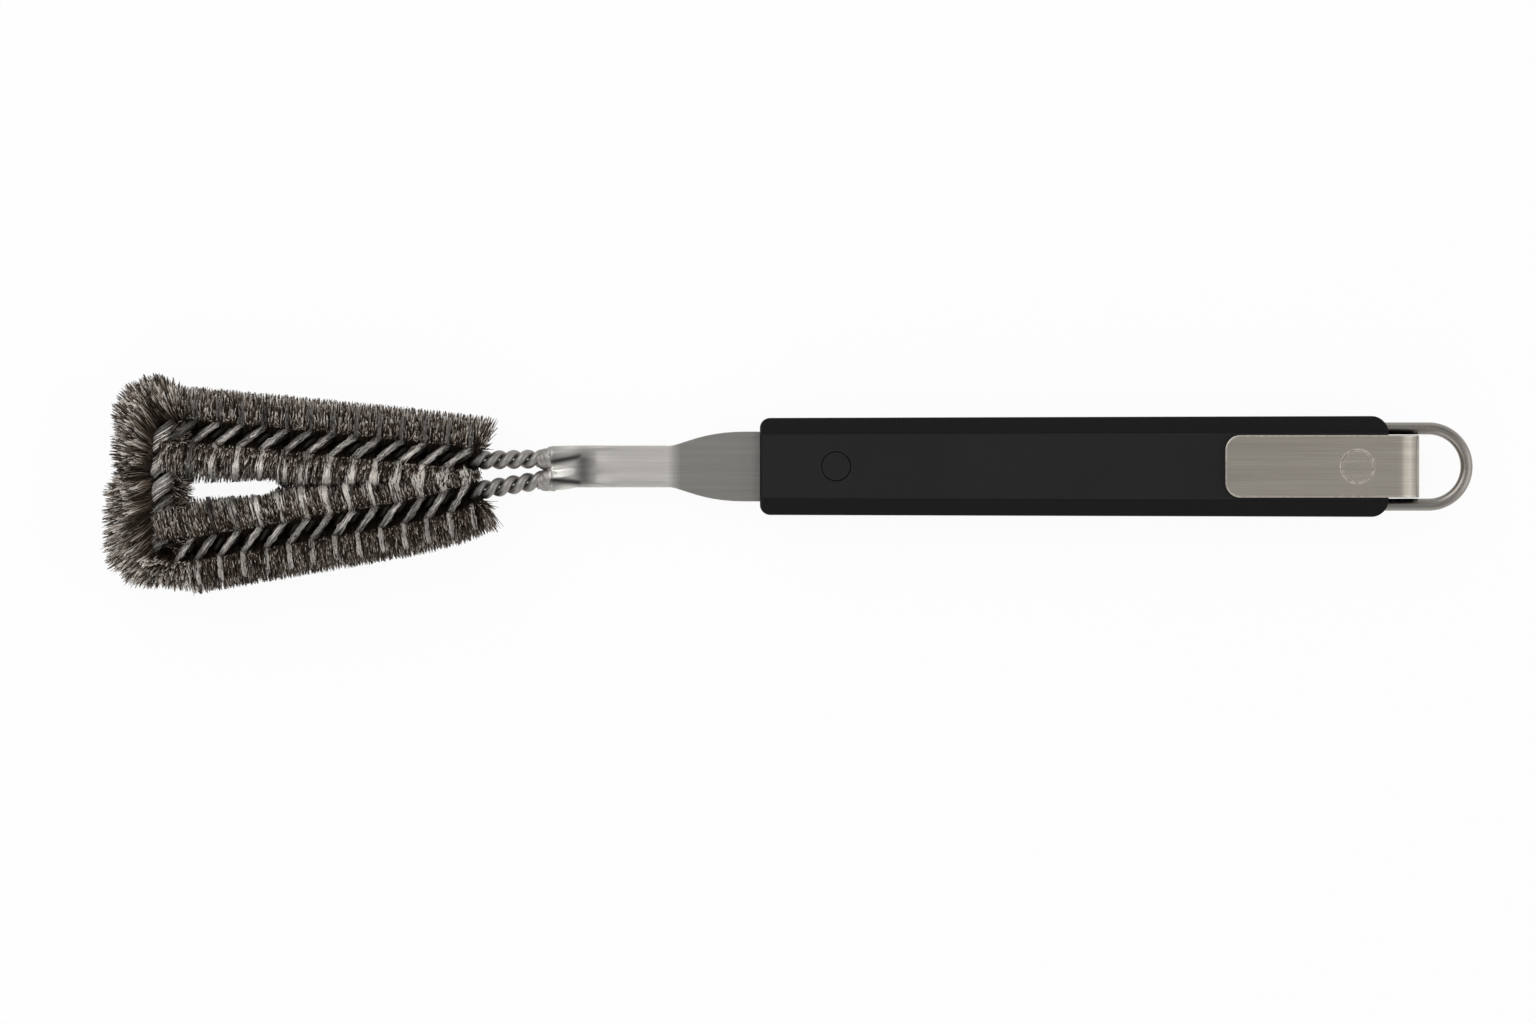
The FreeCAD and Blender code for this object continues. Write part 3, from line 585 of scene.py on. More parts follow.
# ---------------------------------------------------------------- rolled roots (mm)
ROLL_ANGLES = np.radians([-80.0, -50.0, -17.0, 17.0, 50.0, 80.0])
ROLL_HALF_WIDTH = 3.7
ROLL_FRAY = (1.5, 5.5)
ROLL_TONE_SPREAD = 0.12
# Painted shade along a roll, darker towards its outer end.
ROLL_PAINTED_SHADING = (0.8, 0.95, 1.0, 1.0, 0.9, 0.75, 0.65, 0.55)
SHADED_FRONT = 30.0
SHADED_FRONT_TONE = 0.3


def line_tones(rng, place, lines, numbers):
    """A random lightness for each fine line across a roll, where place runs from -1 to 1."""
    return rng.random(numbers)[np.floor((place + 1) * lines).astype(int)]


def roll_paths(arm, start, up, settings, rng):
    """One bundle of wires that crosses over the core, from a fin on one side to the next fin
    on the other.  up is 1 above the core and -1 below it."""
    wires = settings.roll_wires
    pitch = settings.fin_pitch / MM / arm.along[0]
    spread = rng.uniform(-1.0, 1.0, wires)
    dome = np.sqrt(1 - spread ** 2) * rng.uniform(0.55, 1.0, wires)
    crest = settings.roll_height / MM * (0.72 + 0.28 * dome)
    half_width = ROLL_HALF_WIDTH * rng.uniform(0.9, 1.1, wires)

    def t_at(turn):
        return start + pitch * (0.5 + 0.5 * turn) + spread * settings.roll_width / MM / 2

    paths = np.zeros((wires, len(ROLL_PAINTED_SHADING), 3))
    for place, angle in enumerate(ROLL_ANGLES, 1):
        turn = math.sin(angle)
        paths[:, place] = arm.place(t_at(turn), half_width * turn * up,
                                    up * crest * (0.35 + 0.65 * math.cos(angle)))
    for end, far in ((-1, 0), (1, -1)):
        out = rng.uniform(*ROLL_FRAY, wires)
        rise = up * (crest * 0.5 + 1.1 * out * rng.uniform(0.7, 1.1, wires))
        paths[:, far] = arm.place(t_at(end), end * (half_width + out) * up, rise)
    lines = line_tones(rng, spread, 12, 40)
    # dome lightens the wires along the middle of each roll: a painted highlight on its crest.
    shade = np.clip(0.12 + 0.88 * lines * dome + rng.normal(0.0, ROLL_TONE_SPREAD, wires), 0.0, 1.0)
    return paths, shaded(shade, ROLL_PAINTED_SHADING[::arm.outward * up])


def arm_rolls(arm, settings, rng):
    """Every rolled root of one arm, above and below the core."""
    pitch = settings.fin_pitch / MM / arm.along[0]
    fin_x = FRONT + settings.fin_phase / MM
    start = (fin_x - arm.corner[0]) / arm.along[0] % pitch
    bundles, tones = [], []
    while start + pitch * 0.9 < arm.length:
        front = arm is RIGHT_ARM and arm.points(start)[0] < FRONT + SHADED_FRONT
        for up in (1, -1):
            paths, tone = roll_paths(arm, start, up, settings, rng)
            bundles.append(paths)
            tones.append(tone * (SHADED_FRONT_TONE if front else 1.0))
        start += pitch
    return np.concatenate(bundles), np.concatenate(tones)


BAR_PITCH = 8.2
BAR_TOP_Y = RIGHT_CORNER_Y + 1.6
BAR_ROLLS = 5
SMOOTH_BAR_ROLLS = 3
BAR_ROLL_WIRES = 300
BAR_ROLL_RADIUS = 3.3
BAR_ROLL_DOME = 1.3
BAR_ROLL_FRAY = (1.5, 5.0)
BAR_ROLL_STRAY = 0.35
BAR_ANGLES = np.radians([-82.0, -50.0, -17.0, 17.0, 50.0, 82.0])
# Painted shade along a bar roll, darkest at the end that dips down towards the core.
BAR_ROLL_PAINTED_SHADING = (0.6, 1.0, 1.2, 1.1, 0.85, 0.5, 0.2, 0.05)


def bar_rolls(rng):
    """Smoothly combed rolls of wire round the front bar, which grow rough to the left."""
    wires = BAR_ROLL_WIRES
    bundles, tones = [], []
    for roll in range(BAR_ROLLS):
        rough = 0.0 if roll < SMOOTH_BAR_ROLLS else 1.0
        for side in (1, -1):
            across = rng.uniform(-1.0, 1.0, wires)
            dome = np.sqrt(1 - across ** 2)
            lift = BAR_ROLL_RADIUS + BAR_ROLL_DOME * dome * (0.82 + 0.18 * rng.random(wires))
            start = BAR_TOP_Y - BAR_PITCH * (roll + 1) + across * BAR_PITCH * 0.40
            paths = np.zeros((wires, len(BAR_ROLL_PAINTED_SHADING), 3))
            for place, angle in enumerate(BAR_ANGLES, 1):
                paths[:, place] = stacked(CORNER_X + lift * math.sin(angle),
                                          start + BAR_PITCH * (angle / math.pi + 0.5),
                                          CORE_Z + side * lift * math.cos(angle))
            fray = rng.uniform(*BAR_ROLL_FRAY, wires)
            paths[:, 0] = paths[:, 1] + stacked(-fray, -0.5 * fray, -side * 0.6 * fray)
            paths[:, -1] = paths[:, -2] + stacked(0.4 * fray, 0.25 * fray, -side * 0.5 * fray)
            paths += rough * rng.normal(0.0, BAR_ROLL_STRAY, paths.shape)
            lines = line_tones(rng, across, 14, 60)
            # dome lightens the middle of each bar roll: a painted highlight on its crest.
            shade = np.clip(0.08 - 0.05 * rough + (1.25 - 0.85 * rough) * lines ** 2 * dome
                            + rng.normal(0.0, 0.08 + 0.05 * rough, wires), 0.0, 1.0)
            bundles.append(paths)
            tones.append(shaded(shade, BAR_ROLL_PAINTED_SHADING))
    return np.concatenate(bundles), np.concatenate(tones)


# ---------------------------------------------------------------- the pressed socket (mm)
SOCKET_MOUTH_X = in_mm(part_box("shank")[0])[0] - 0.5
SOCKET_LENGTH = 26.0
SKIN_END_X = BEND_X - 0.7
SKIN_DIP = 2.5
DIP_SKINS = 2.2
LIP_LENGTH = 1.6
LIP_INSET = 0.3
SOCKET_MOUTH_Y = 4.98
SOCKET_MOUTH_HALF = 7.45
STRIP_MIDDLE_Y = 5.73
STRIP_HALF_WIDTH = 6.79
STRIP_HALF_THICKNESS = 1.0
FLATTENING = 8.0
SKIN = 0.08
SOCKET_RISE = 3.15
PITCH_START_X = -62.7
PITCH_SLOPE = 0.1353
SOCKET_ROWS = 110
ROW_CROWDING = 1.3
SOCKET_COLUMNS = 72
# Place and size of the painted highlight on the socket's dish, and the lines and places of its
# painted shade.
SOCKET_HIGHLIGHT_PLACE = (-74.4, 4.1)
SOCKET_HIGHLIGHT_SIZE = (4.9, 1.9)
FOLD_SHADOWS = ((6.9, 0.2), (1.5, -0.1))
FOLD_SHADOWS_END_X = -68.5
REAR_SHADE_X = -66.8
MOUTH_SHADE_LENGTH = 9.0
# Gain of the painted reflection on the shank's pitched front and on the socket.
PAINTED_REFLECTION_GAIN = 1.95


def smooth_step(values):
    values = np.clip(values, 0.0, 1.0)
    return values * values * (3.0 - 2.0 * values)


def skin_dip(x):
    """How far the skin has sunk into the strip at x, from 0 to 1."""
    return smooth_step((x - SKIN_END_X + SKIN_DIP) / SKIN_DIP)


def socket_shape(x, share):
    """Half thickness of the socket at x and at a share of its half width, from -1 to 1."""
    run = (x - SOCKET_MOUTH_X) / SOCKET_LENGTH
    rise = SOCKET_RISE * (1.0 - smooth_step(run * 1.06 - 0.03))
    lip = smooth_step((x - SOCKET_MOUTH_X) / LIP_LENGTH)
    rise = rise * (0.80 + 0.20 * lip)
    side = np.sqrt(np.maximum(1.0 - np.abs(share) ** 7, 0.0))
    saddle = np.exp(-((share + 0.06) / 0.26) ** 2)
    dish = 1.0 - (0.46 + 0.3 * (1.0 - lip)) * saddle
    thickness = STRIP_HALF_THICKNESS + SKIN - DIP_SKINS * SKIN * skin_dip(x)
    return side * (thickness + rise * dish)


def socket_painted_shading(x, y):
    """Painted light and shade on the pressed steel: a painted highlight on its dish, painted shade
    in the folds beside and behind it and at its mouth.
    """
    far = np.hypot((x - SOCKET_HIGHLIGHT_PLACE[0]) / SOCKET_HIGHLIGHT_SIZE[0], (y - SOCKET_HIGHLIGHT_PLACE[1]) / SOCKET_HIGHLIGHT_SIZE[1])
    dish = 1.0 - smooth_step((far - 0.75) / 0.45)
    run = x - SOCKET_MOUTH_X
    upper, lower = (np.exp(-((y - start - slope * run) / (0.85 + 0.05 * run)) ** 2)
                    for start, slope in FOLD_SHADOWS)
    beside = np.maximum(upper, lower) * (1.0 - smooth_step((x - FOLD_SHADOWS_END_X) / 4.0))
    behind = np.exp(-((x - REAR_SHADE_X) / np.where(x < REAR_SHADE_X, 3.0, 4.0)) ** 2)
    inner = 1.0 - smooth_step((np.abs(y - 4.7) - 3.2) / 3.4)
    shade = np.maximum(0.9 * beside, behind * (0.28 + 0.44 * inner))
    mouth = 1.0 - smooth_step(run / MOUTH_SHADE_LENGTH)
    tone = (1.0 - 0.5 * mouth) * (1.0 - shade)
    return PAINTED_REFLECTION_GAIN * (tone * (1.0 - dish) + 1.2 * dish)


def tube_mesh(name, rings, clockwise):
    """A tube through rings of points with a flat face at each end.  clockwise says which way
    its rings turn, seen from its first end."""
    count, sides, _ = rings.shape
    faces = []
    for start in range(0, (count - 1) * sides, sides):
        for side in range(sides):
            here, after = start + side, start + (side + 1) % sides
            faces.append((here, here + sides, after + sides, after) if clockwise
                         else (here, after, after + sides, here + sides))
    first = range(sides)
    last = range((count - 1) * sides, count * sides)
    faces += [tuple(first), tuple(reversed(last))] if clockwise else [
        tuple(reversed(first)), tuple(last)]
    mesh = bpy.data.meshes.new(name)
    mesh.from_pydata((rings.reshape(-1, 3) * MM).tolist(), [], faces)
    mesh.polygons.foreach_set("use_smooth", [True] * (len(faces) - 2) + [False] * 2)
    return mesh


COLLAR_AXES = (((-76.5, 8.1), (-88.0, 7.95)), ((-76.5, 1.55), (-88.0, -0.2)))
COLLAR_RADII = (3.95, 3.95, 3.92, 3.87, 3.8, 3.71, 3.6, 3.48, 3.36, 3.25, 3.15, 3.05, 2.9)
COLLAR_RUN = 5.5
COLLAR_SIDES = 64
COLLAR_TWIST = 2 * math.pi / 6.6
COLLAR_GROOVE = 0.6


def collar_mesh(name, start, end):
    """The end of the sleeve round one neck: it closes in until the twisted wires stand out."""
    start = np.array((*start, CORE_Z))
    along = unit(np.array((*end, CORE_Z)) - start)
    across = np.cross(UP, along)
    turns = np.linspace(0.0, 2 * math.pi, COLLAR_SIDES, endpoint=False)
    rings = []
    for step, radius in enumerate(COLLAR_RADII):
        run = step / (len(COLLAR_RADII) - 1)
        groove = np.sin(turns - COLLAR_TWIST * COLLAR_RUN * run) ** 4 * run
        reach = radius - COLLAR_GROOVE * groove
        middle = start + along * COLLAR_RUN * run
        rings.append(middle + np.outer(reach * np.cos(turns), across)
                     + np.outer(reach * np.sin(turns), UP))
    return tube_mesh(name, np.stack(rings), clockwise=False)


def socket_mesh():
    """A skin over the shank's front: a sleeve pressed flat towards the strip."""
    rows = np.linspace(0.0, 1.0, SOCKET_ROWS) ** ROW_CROWDING
    x = SOCKET_MOUTH_X + (SKIN_END_X - SOCKET_MOUTH_X) * rows
    share = np.sin(np.linspace(-math.pi / 2, math.pi / 2, SOCKET_COLUMNS))
    flat = smooth_step((x - SOCKET_MOUTH_X) / FLATTENING)
    half = SOCKET_MOUTH_HALF + (STRIP_HALF_WIDTH + SKIN - SOCKET_MOUTH_HALF) * flat
    half = half - LIP_INSET * (1.0 - smooth_step((x - SOCKET_MOUTH_X) / LIP_LENGTH))
    half = half - DIP_SKINS * SKIN * skin_dip(x)
    middle_y = SOCKET_MOUTH_Y + (STRIP_MIDDLE_Y - SOCKET_MOUTH_Y) * flat
    middle = CORE_Z - PITCH_SLOPE * np.maximum(x - PITCH_START_X, 0.0)
    around = np.concatenate([share, share[-2:0:-1]])
    sign = np.concatenate([np.ones(SOCKET_COLUMNS), -np.ones(SOCKET_COLUMNS - 2)])
    height = socket_shape(x[:, None], around[None, :]) * sign[None, :]
    rings = stacked(x[:, None], middle_y[:, None] + half[:, None] * around[None, :],
                    middle[:, None] + height)
    mesh = tube_mesh("pressed_socket", rings, clockwise=True)
    # The socket stores its painted light and shade at its points.
    set_tone(mesh, socket_painted_shading(rings[..., 0], rings[..., 1]).ravel())
    return mesh


# ---------------------------------------------------------------- shader nodes and groups
def connect(tree, node, inputs):
    """Links or sets a node's inputs by name or number."""
    for key, value in inputs.items():
        if isinstance(value, bpy.types.NodeSocket):
            tree.links.new(value, node.inputs[key])
        else:
            node.inputs[key].default_value = value


def add(tree, kind, inputs=None, **settings):
    """A new node of a tree with its own settings and inputs."""
    node = tree.nodes.new(kind)
    for key, value in settings.items():
        setattr(node, key, value)
    connect(tree, node, inputs or {})
    return node


def math_node(tree, operation, first, second=0.0, third=0.0, clamp=False):
    return add(tree, "ShaderNodeMath", {0: first, 1: second, 2: third}, operation=operation,
               use_clamp=clamp).outputs[0]


def object_place(tree):
    return add(tree, "ShaderNodeTexCoord").outputs["Object"]


def object_x(tree):
    return add(tree, "ShaderNodeSeparateXYZ", {0: object_place(tree)}).outputs["X"]


def noise(tree, place, scale, detail=2.0, roughness=0.5):
    return add(tree, "ShaderNodeTexNoise", {"Vector": place, "Scale": scale, "Detail": detail,
                                            "Roughness": roughness}).outputs["Fac"]


def ranged(tree, value, start, end, low=0.0, high=1.0):
    """Carries a value from start..end to low..high."""
    return add(tree, "ShaderNodeMapRange", {"Value": value, "From Min": start, "From Max": end,
                                            "To Min": low, "To Max": high}).outputs[0]


def bumped(tree, height, strength, distance):
    return add(tree, "ShaderNodeBump", {"Height": height, "Strength": strength,
                                        "Distance": distance}).outputs[0]


def point_tone(tree):
    """The lightness that a mesh stores at its points."""
    return add(tree, "ShaderNodeAttribute", attribute_name="tone").outputs["Fac"]


def tinted(tree, base, factor):
    """A colour made lighter or darker by a value."""
    return add(tree, "ShaderNodeVectorMath", {0: base, 1: factor}, operation="MULTIPLY").outputs[0]


def mixed(tree, factor, first, second):
    """A colour between two colours, each of them a socket or three numbers."""
    node = add(tree, "ShaderNodeMix", data_type="RGBA")
    places = {socket.identifier: place for place, socket in enumerate(node.inputs)}
    first, second = (value if isinstance(value, bpy.types.NodeSocket) else (*value, 1.0)
                     for value in (first, second))
    connect(tree, node, {places["Factor_Float"]: factor, places["A_Color"]: first,
                         places["B_Color"]: second})
    return next(socket for socket in node.outputs if socket.identifier == "Result_Color")


def new_group(name, inputs, outputs):
    """An empty shader group with float inputs, by their defaults, and float outputs."""
    group = bpy.data.node_groups.new(name, "ShaderNodeTree")
    kind = "NodeSocketFloat"
    for label, default in inputs.items():
        socket = group.interface.new_socket(name=label, in_out="INPUT", socket_type=kind)
        socket.default_value = default
    for label in outputs:
        group.interface.new_socket(name=label, in_out="OUTPUT", socket_type=kind)
    return group, group.nodes.new("NodeGroupInput").outputs, group.nodes.new("NodeGroupOutput")


def end_texture(group, given, out, first, first_share, second, second_share, height):
    """Ends a texture group: a tint round 1 from two layers, and a height for bump."""
    both = math_node(group, "ADD", math_node(group, "MULTIPLY", first, first_share),
                     math_node(group, "MULTIPLY", second, second_share))
    centred = math_node(group, "SUBTRACT", both, 0.5)
    tint = math_node(group, "MULTIPLY_ADD", centred, given["Depth"], 1.0)
    connect(group, out, {"Tint": tint, "Height": height})
    return group


def grain_group():
    """Fine lines of brushed steel that run along the strip, with long soft shades."""
    group, given, out = new_group("strip_grain", {"Fineness": 5200.0, "Depth": 1.0},
                                  ("Tint", "Height"))
    axes = add(group, "ShaderNodeSeparateXYZ", {0: object_place(group)}).outputs
    place = add(group, "ShaderNodeCombineXYZ", {
        axis: math_node(group, "MULTIPLY", axes[axis], scale)
        for axis, scale in (("X", 42.0), ("Y", given["Fineness"]), ("Z", 60.0))}).outputs[0]
    lines = noise(group, place, 1.0, 3.0, 0.6)
    broad_place = add(group, "ShaderNodeVectorMath", {0: place, 1: (0.25, 0.09, 0.3)},
                      operation="MULTIPLY").outputs[0]
    broad = noise(group, broad_place, 1.0)
    return end_texture(group, given, out, lines, 0.6, broad, 0.4, lines)


def mottle_group():
    """Soft cloudy shades and a fine speckle, for cast, drawn and moulded surfaces."""
    group, given, out = new_group("mottle", {"Cloud Scale": 60.0, "Speckle Scale": 4000.0,
                                             "Depth": 0.2}, ("Tint", "Height"))
    place = object_place(group)
    clouds = noise(group, place, given["Cloud Scale"], 4.0)
    speckle = noise(group, place, given["Speckle Scale"])
    return end_texture(group, given, out, clouds, 0.65, speckle, 0.35, speckle)


def wear_and_highlight_group():
    """Mask of the edges, lightened both for handling and as a painted highlight along them."""
    group, given, out = new_group("edge_wear", {"Width": 0.0006, "Breakup": 900.0}, ("Mask",))
    rounded = add(group, "ShaderNodeBevel", {"Radius": given["Width"]}, samples=6)
    flat = add(group, "ShaderNodeNewGeometry").outputs["Normal"]
    agree = add(group, "ShaderNodeVectorMath", {0: rounded.outputs[0], 1: flat},
                operation="DOT_PRODUCT").outputs["Value"]
    edge = ranged(group, agree, 0.995, 0.86)
    broken = ranged(group, noise(group, object_place(group), given["Breakup"], 4.0), 0.3, 0.6)
    connect(group, out, {"Mask": math_node(group, "MULTIPLY", edge, broken, clamp=True)})
    return group


# ---------------------------------------------------------------- materials
BROWN_TONE = 0.36
# Painted shade on the core inside the bristles.
CORE_PAINTED_SHADE = (0.028, 0.024, 0.021)
HEIGHT_LOW = 0.3
HEIGHT_HIGH = 0.7
PLASTIC_RUB_AND_HIGHLIGHT = 1.6
FLANK_SHADE = 0.25


def empty_material(name):
    """A material with no node but its output, its tree and that output's surface."""
    material = bpy.data.materials.new(name)
    material.use_nodes = True
    tree = material.node_tree
    tree.nodes.clear()
    return material, tree, tree.nodes.new("ShaderNodeOutputMaterial").inputs["Surface"]


def shader_material(name):
    """A material with its tree and its shader."""
    material, tree, surface_in = empty_material(name)
    shader = tree.nodes.new("ShaderNodeBsdfPrincipled")
    tree.links.new(shader.outputs[0], surface_in)
    return material, tree, shader


def texture(tree, group, inputs):
    return add(tree, "ShaderNodeGroup", inputs, node_tree=group).outputs


def strip_steel(name, groups, base, roughness, fineness, worn_and_lit_edges=1.5, rim=0.0005, repaint=None):
    """Steel strip brushed lengthwise, brighter along its edges, both from handling and as a painted
    highlight.
    """
    material, tree, shader = shader_material(name)
    grain = texture(tree, groups["grain"], {"Fineness": fineness, "Depth": 0.85})
    wear_and_highlight = texture(tree, groups["wear_and_highlight"], {"Width": rim, "Breakup": 700.0})
    steel = tinted(tree, tuple(base), grain["Tint"])
    bright = tuple(min(1.0, value * worn_and_lit_edges) for value in base)
    shown = mixed(tree, wear_and_highlight["Mask"], steel, bright)
    connect(tree, shader, {
        "Base Color": repaint(tree, steel, shown) if repaint else shown, "Metallic": 1.0,
        "Roughness": ranged(tree, grain["Height"], HEIGHT_LOW, HEIGHT_HIGH, roughness + 0.08,
                            roughness - 0.05),
        "Normal": bumped(tree, grain["Height"], 0.25, 0.00003)})
    return material


def painted_front_reflection(tree, steel, shown):
    """The shank's strip: its pitched front is lighter than its level rear, a painted reflection of
    the light that it faces.
    """
    front = ranged(tree, object_x(tree), (BEND_X + 2.0) * MM, (BEND_X - 2.5) * MM, 1.0, PAINTED_REFLECTION_GAIN)
    return tinted(tree, shown, front)


def socket_painted_shading_colour(tree, steel, shown):
    """The socket's skin: painted highlight on its dish and lips, painted shade in its folds, with
    no lightened rim.
    """
    return tinted(tree, steel, point_tone(tree))


def drawn_steel(name, groups, base, roughness, depth, repaint=None):
    """Drawn or plated steel with a satin skin."""
    material, tree, shader = shader_material(name)
    mottle = texture(tree, groups["mottle"], {"Cloud Scale": 160.0, "Speckle Scale": 3600.0,
                                              "Depth": depth})
    steel = tinted(tree, tuple(base), mottle["Tint"])
    connect(tree, shader, {
        "Base Color": repaint(tree, steel) if repaint else steel, "Metallic": 1.0,
        "Roughness": ranged(tree, mottle["Height"], HEIGHT_LOW, HEIGHT_HIGH, roughness + 0.07,
                            roughness - 0.05),
        "Normal": bumped(tree, mottle["Height"], 0.2, 0.00004)})
    return material


def painted_core_shade(tree, steel):
    """The twisted core is painted black where it runs inside the bristles: painted shade, for the
    shadow that the bristles cast on it.
    """
    inside = ranged(tree, object_x(tree), (NECK_X + 2.5) * MM, (NECK_X - 3.0) * MM)
    return mixed(tree, inside, steel, CORE_PAINTED_SHADE)


def bristle_steel(name, groups, dark, middle, light):
    """Fine wire whose lightness follows the tone stored at its points, each wire's own tone with
    painted shade along it, by way of a middle colour.
    """
    material, tree, shader = shader_material(name)
    tone = point_tone(tree)
    mottle = texture(tree, groups["mottle"], {"Cloud Scale": 90.0, "Speckle Scale": 1500.0,
                                              "Depth": 0.9})
    shade = mixed(tree, ranged(tree, tone, 0.0, BROWN_TONE), tuple(dark), tuple(middle))
    shade = mixed(tree, ranged(tree, tone, BROWN_TONE, 1.0), shade, tuple(light))
    connect(tree, shader, {
        "Base Color": tinted(tree, shade, mottle["Tint"]), "Metallic": 0.12,
        "Specular IOR Level": 0.14,
        "Roughness": ranged(tree, mottle["Height"], HEIGHT_LOW, HEIGHT_HIGH, 0.5, 0.36)})
    return material


def handle_plastic(groups, settings):
    """Black moulded plastic with a fine matt texture, smoothed by handling and given a painted
    highlight along its edges, with painted shade on its sloped flanks.
    """
    material, tree, shader = shader_material("moulded_handle_plastic")
    mottle = texture(tree, groups["mottle"], {"Cloud Scale": 28.0, "Speckle Scale": 5200.0,
                                              "Depth": 0.5})
    worn_and_lit_edges = texture(tree, groups["wear_and_highlight"], {"Width": 0.0009, "Breakup": 420.0})["Mask"]
    base = tuple(settings.plastic)
    rubbed_and_highlighted = tuple(value * PLASTIC_RUB_AND_HIGHLIGHT for value in base)
    shown = mixed(tree, worn_and_lit_edges, tinted(tree, base, mottle["Tint"]), rubbed_and_highlighted)
    normal = add(tree, "ShaderNodeNewGeometry").outputs["Normal"]
    z = add(tree, "ShaderNodeSeparateXYZ", {0: normal}).outputs["Z"]
    # Painted shade: faces that slope away from level are made darker.
    painted_flank_shade = ranged(tree, math_node(tree, "ABSOLUTE", z), 0.86, 0.985, FLANK_SHADE, 1.0)
    connect(tree, shader, {
        "Base Color": tinted(tree, shown, painted_flank_shade), "Specular IOR Level": 0.1,
        "Roughness": ranged(tree, worn_and_lit_edges, 0.0, 1.0, settings.plastic_roughness,
                            settings.plastic_roughness - 0.12),
        "Normal": bumped(tree, mottle["Height"], 0.35, 0.00006)})
    return material


def finishes():
    """Every material of the brush by its name, made on the first call."""
    if "bristle_wire_steel" not in bpy.data.materials:
        look = bpy.context.scene.brush_finish
        fill = bpy.context.scene.brush_fill
        rough, fine = look.steel_roughness, look.grain_fineness
        groups = {"grain": grain_group(), "wear_and_highlight": wear_and_highlight_group(), "mottle": mottle_group()}
        bristle_steel("bristle_wire_steel", groups, fill.dark, fill.brown, fill.light)
        bristle_steel("combed_wire_steel", groups, fill.dark, fill.grey, fill.light)
        drawn_steel("core_wire_steel", groups, look.core, 0.46, 0.9, painted_core_shade)
        strip_steel("shank_steel", groups, look.shank, rough, fine, repaint=painted_front_reflection)
        strip_steel("socket_steel", groups, look.shank, rough, fine, repaint=socket_painted_shading_colour)
        # The strap and its rivet get a strong painted highlight along their edges.
        strip_steel("strap_steel", groups, look.strap, rough, fine, worn_and_lit_edges=2.5, rim=0.0012)
        drawn_steel("loop_wire_steel", groups, look.wire, 0.3, 0.5)
        drawn_steel("plated_fastener_steel", groups, look.plated, 0.26, 0.5)
        strip_steel("rivet_steel", groups, look.strap, rough - 0.06, fine, worn_and_lit_edges=2.5)
        handle_plastic(groups, look)
    return bpy.data.materials


def dress(node, material):
    """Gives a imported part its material."""
    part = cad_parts[node]
    part.data.materials.clear()
    part.data.materials.append(finishes()[material])


def finish_piece(piece, material, nodes):
    """What every new piece needs: its material, its body, the parts it stands for."""
    piece.data.materials.append(finishes()[material])
    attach(piece, BRUSH)
    if nodes:
        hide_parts(*nodes)


def wire_piece(name, paths, tone, stray, ends, material, nodes, settings, rng):
    """A piece of crimped wires.  stray scales their crimp, and ends slims their two ends."""
    paths = crimped(paths, settings.crimp / MM * stray, rng)
    radius = np.full(paths.shape[1], settings.wire_diameter / MM / 2)
    radius[0] *= ends[0]
    radius[-1] *= ends[1]
    finish_piece(wire_mesh(name, paths, radius, tone), material, nodes)


# ---------------------------------------------------------------- operators
ARM_LAYERS = 3
FIN_SEED = 40
TUFT_SEED = 10
ROLL_SEED = 20
BRISTLE_ENDS = (1.0, 0.5)
FIN_ENDS = (0.8, 0.7)
ROLL_ENDS = (0.7, 0.7)
BAR_WIRE_SHARE = 5


class BRUSH_OT_arms(bpy.types.Operator):
    """Make the bristles of the two straight arms."""
    bl_idname = "brush.arms"
    bl_label = "Bristles of the arms"

    def execute(self, context):
        fill = context.scene.brush_fill
        for offset, (name, arm) in enumerate((("bristles_right_arm", RIGHT_ARM),
                                              ("bristles_left_arm", LEFT_ARM))):
            for layer in range(ARM_LAYERS):
                rng = np.random.default_rng(fill.seed + ARM_LAYERS * offset + layer)
                wire_piece(name + "_wires_" + str(layer + 1),
                           *arm_paths(arm, fill.arm_wires, fill, rng), 1.0, BRISTLE_ENDS,
                           "bristle_wire_steel", [name], fill, rng)
            rng = np.random.default_rng(fill.seed + FIN_SEED + offset)
            wire_piece(name + "_fins", *fin_paths(arm, fill.fin_wires, fill, rng), 0.6, FIN_ENDS,
                       "combed_wire_steel", [name], fill, rng)
        return {"FINISHED"}


class BRUSH_OT_tufts(bpy.types.Operator):
    """Make the two fans of bristles at the front corners."""
    bl_idname = "brush.tufts"
    bl_label = "Bristles of the corner tufts"

    def execute(self, context):
        fill = context.scene.brush_fill
        halves = (("bristles_right_tuft", RIGHT_TUFT, NOTCH_Y, RIGHT_CORNER_Y),
                  ("bristles_left_tuft", LEFT_TUFT, LEFT_CORNER_Y, NOTCH_Y))
        for offset, (name, tuft, start_y, end_y) in enumerate(halves):
            rng = np.random.default_rng(fill.seed + TUFT_SEED + offset)
            fan, fan_tone = tuft_paths(tuft, fill.tuft_wires, fill, rng)
            short = fill.tuft_wires // BAR_WIRE_SHARE
            behind, behind_tone = bar_paths(start_y, end_y, short, rng)
            wire_piece(name + "_wires", np.concatenate([fan, behind]),
                       np.concatenate([fan_tone, behind_tone]), 1.0, BRISTLE_ENDS,
                       "bristle_wire_steel", [name], fill, rng)
        return {"FINISHED"}


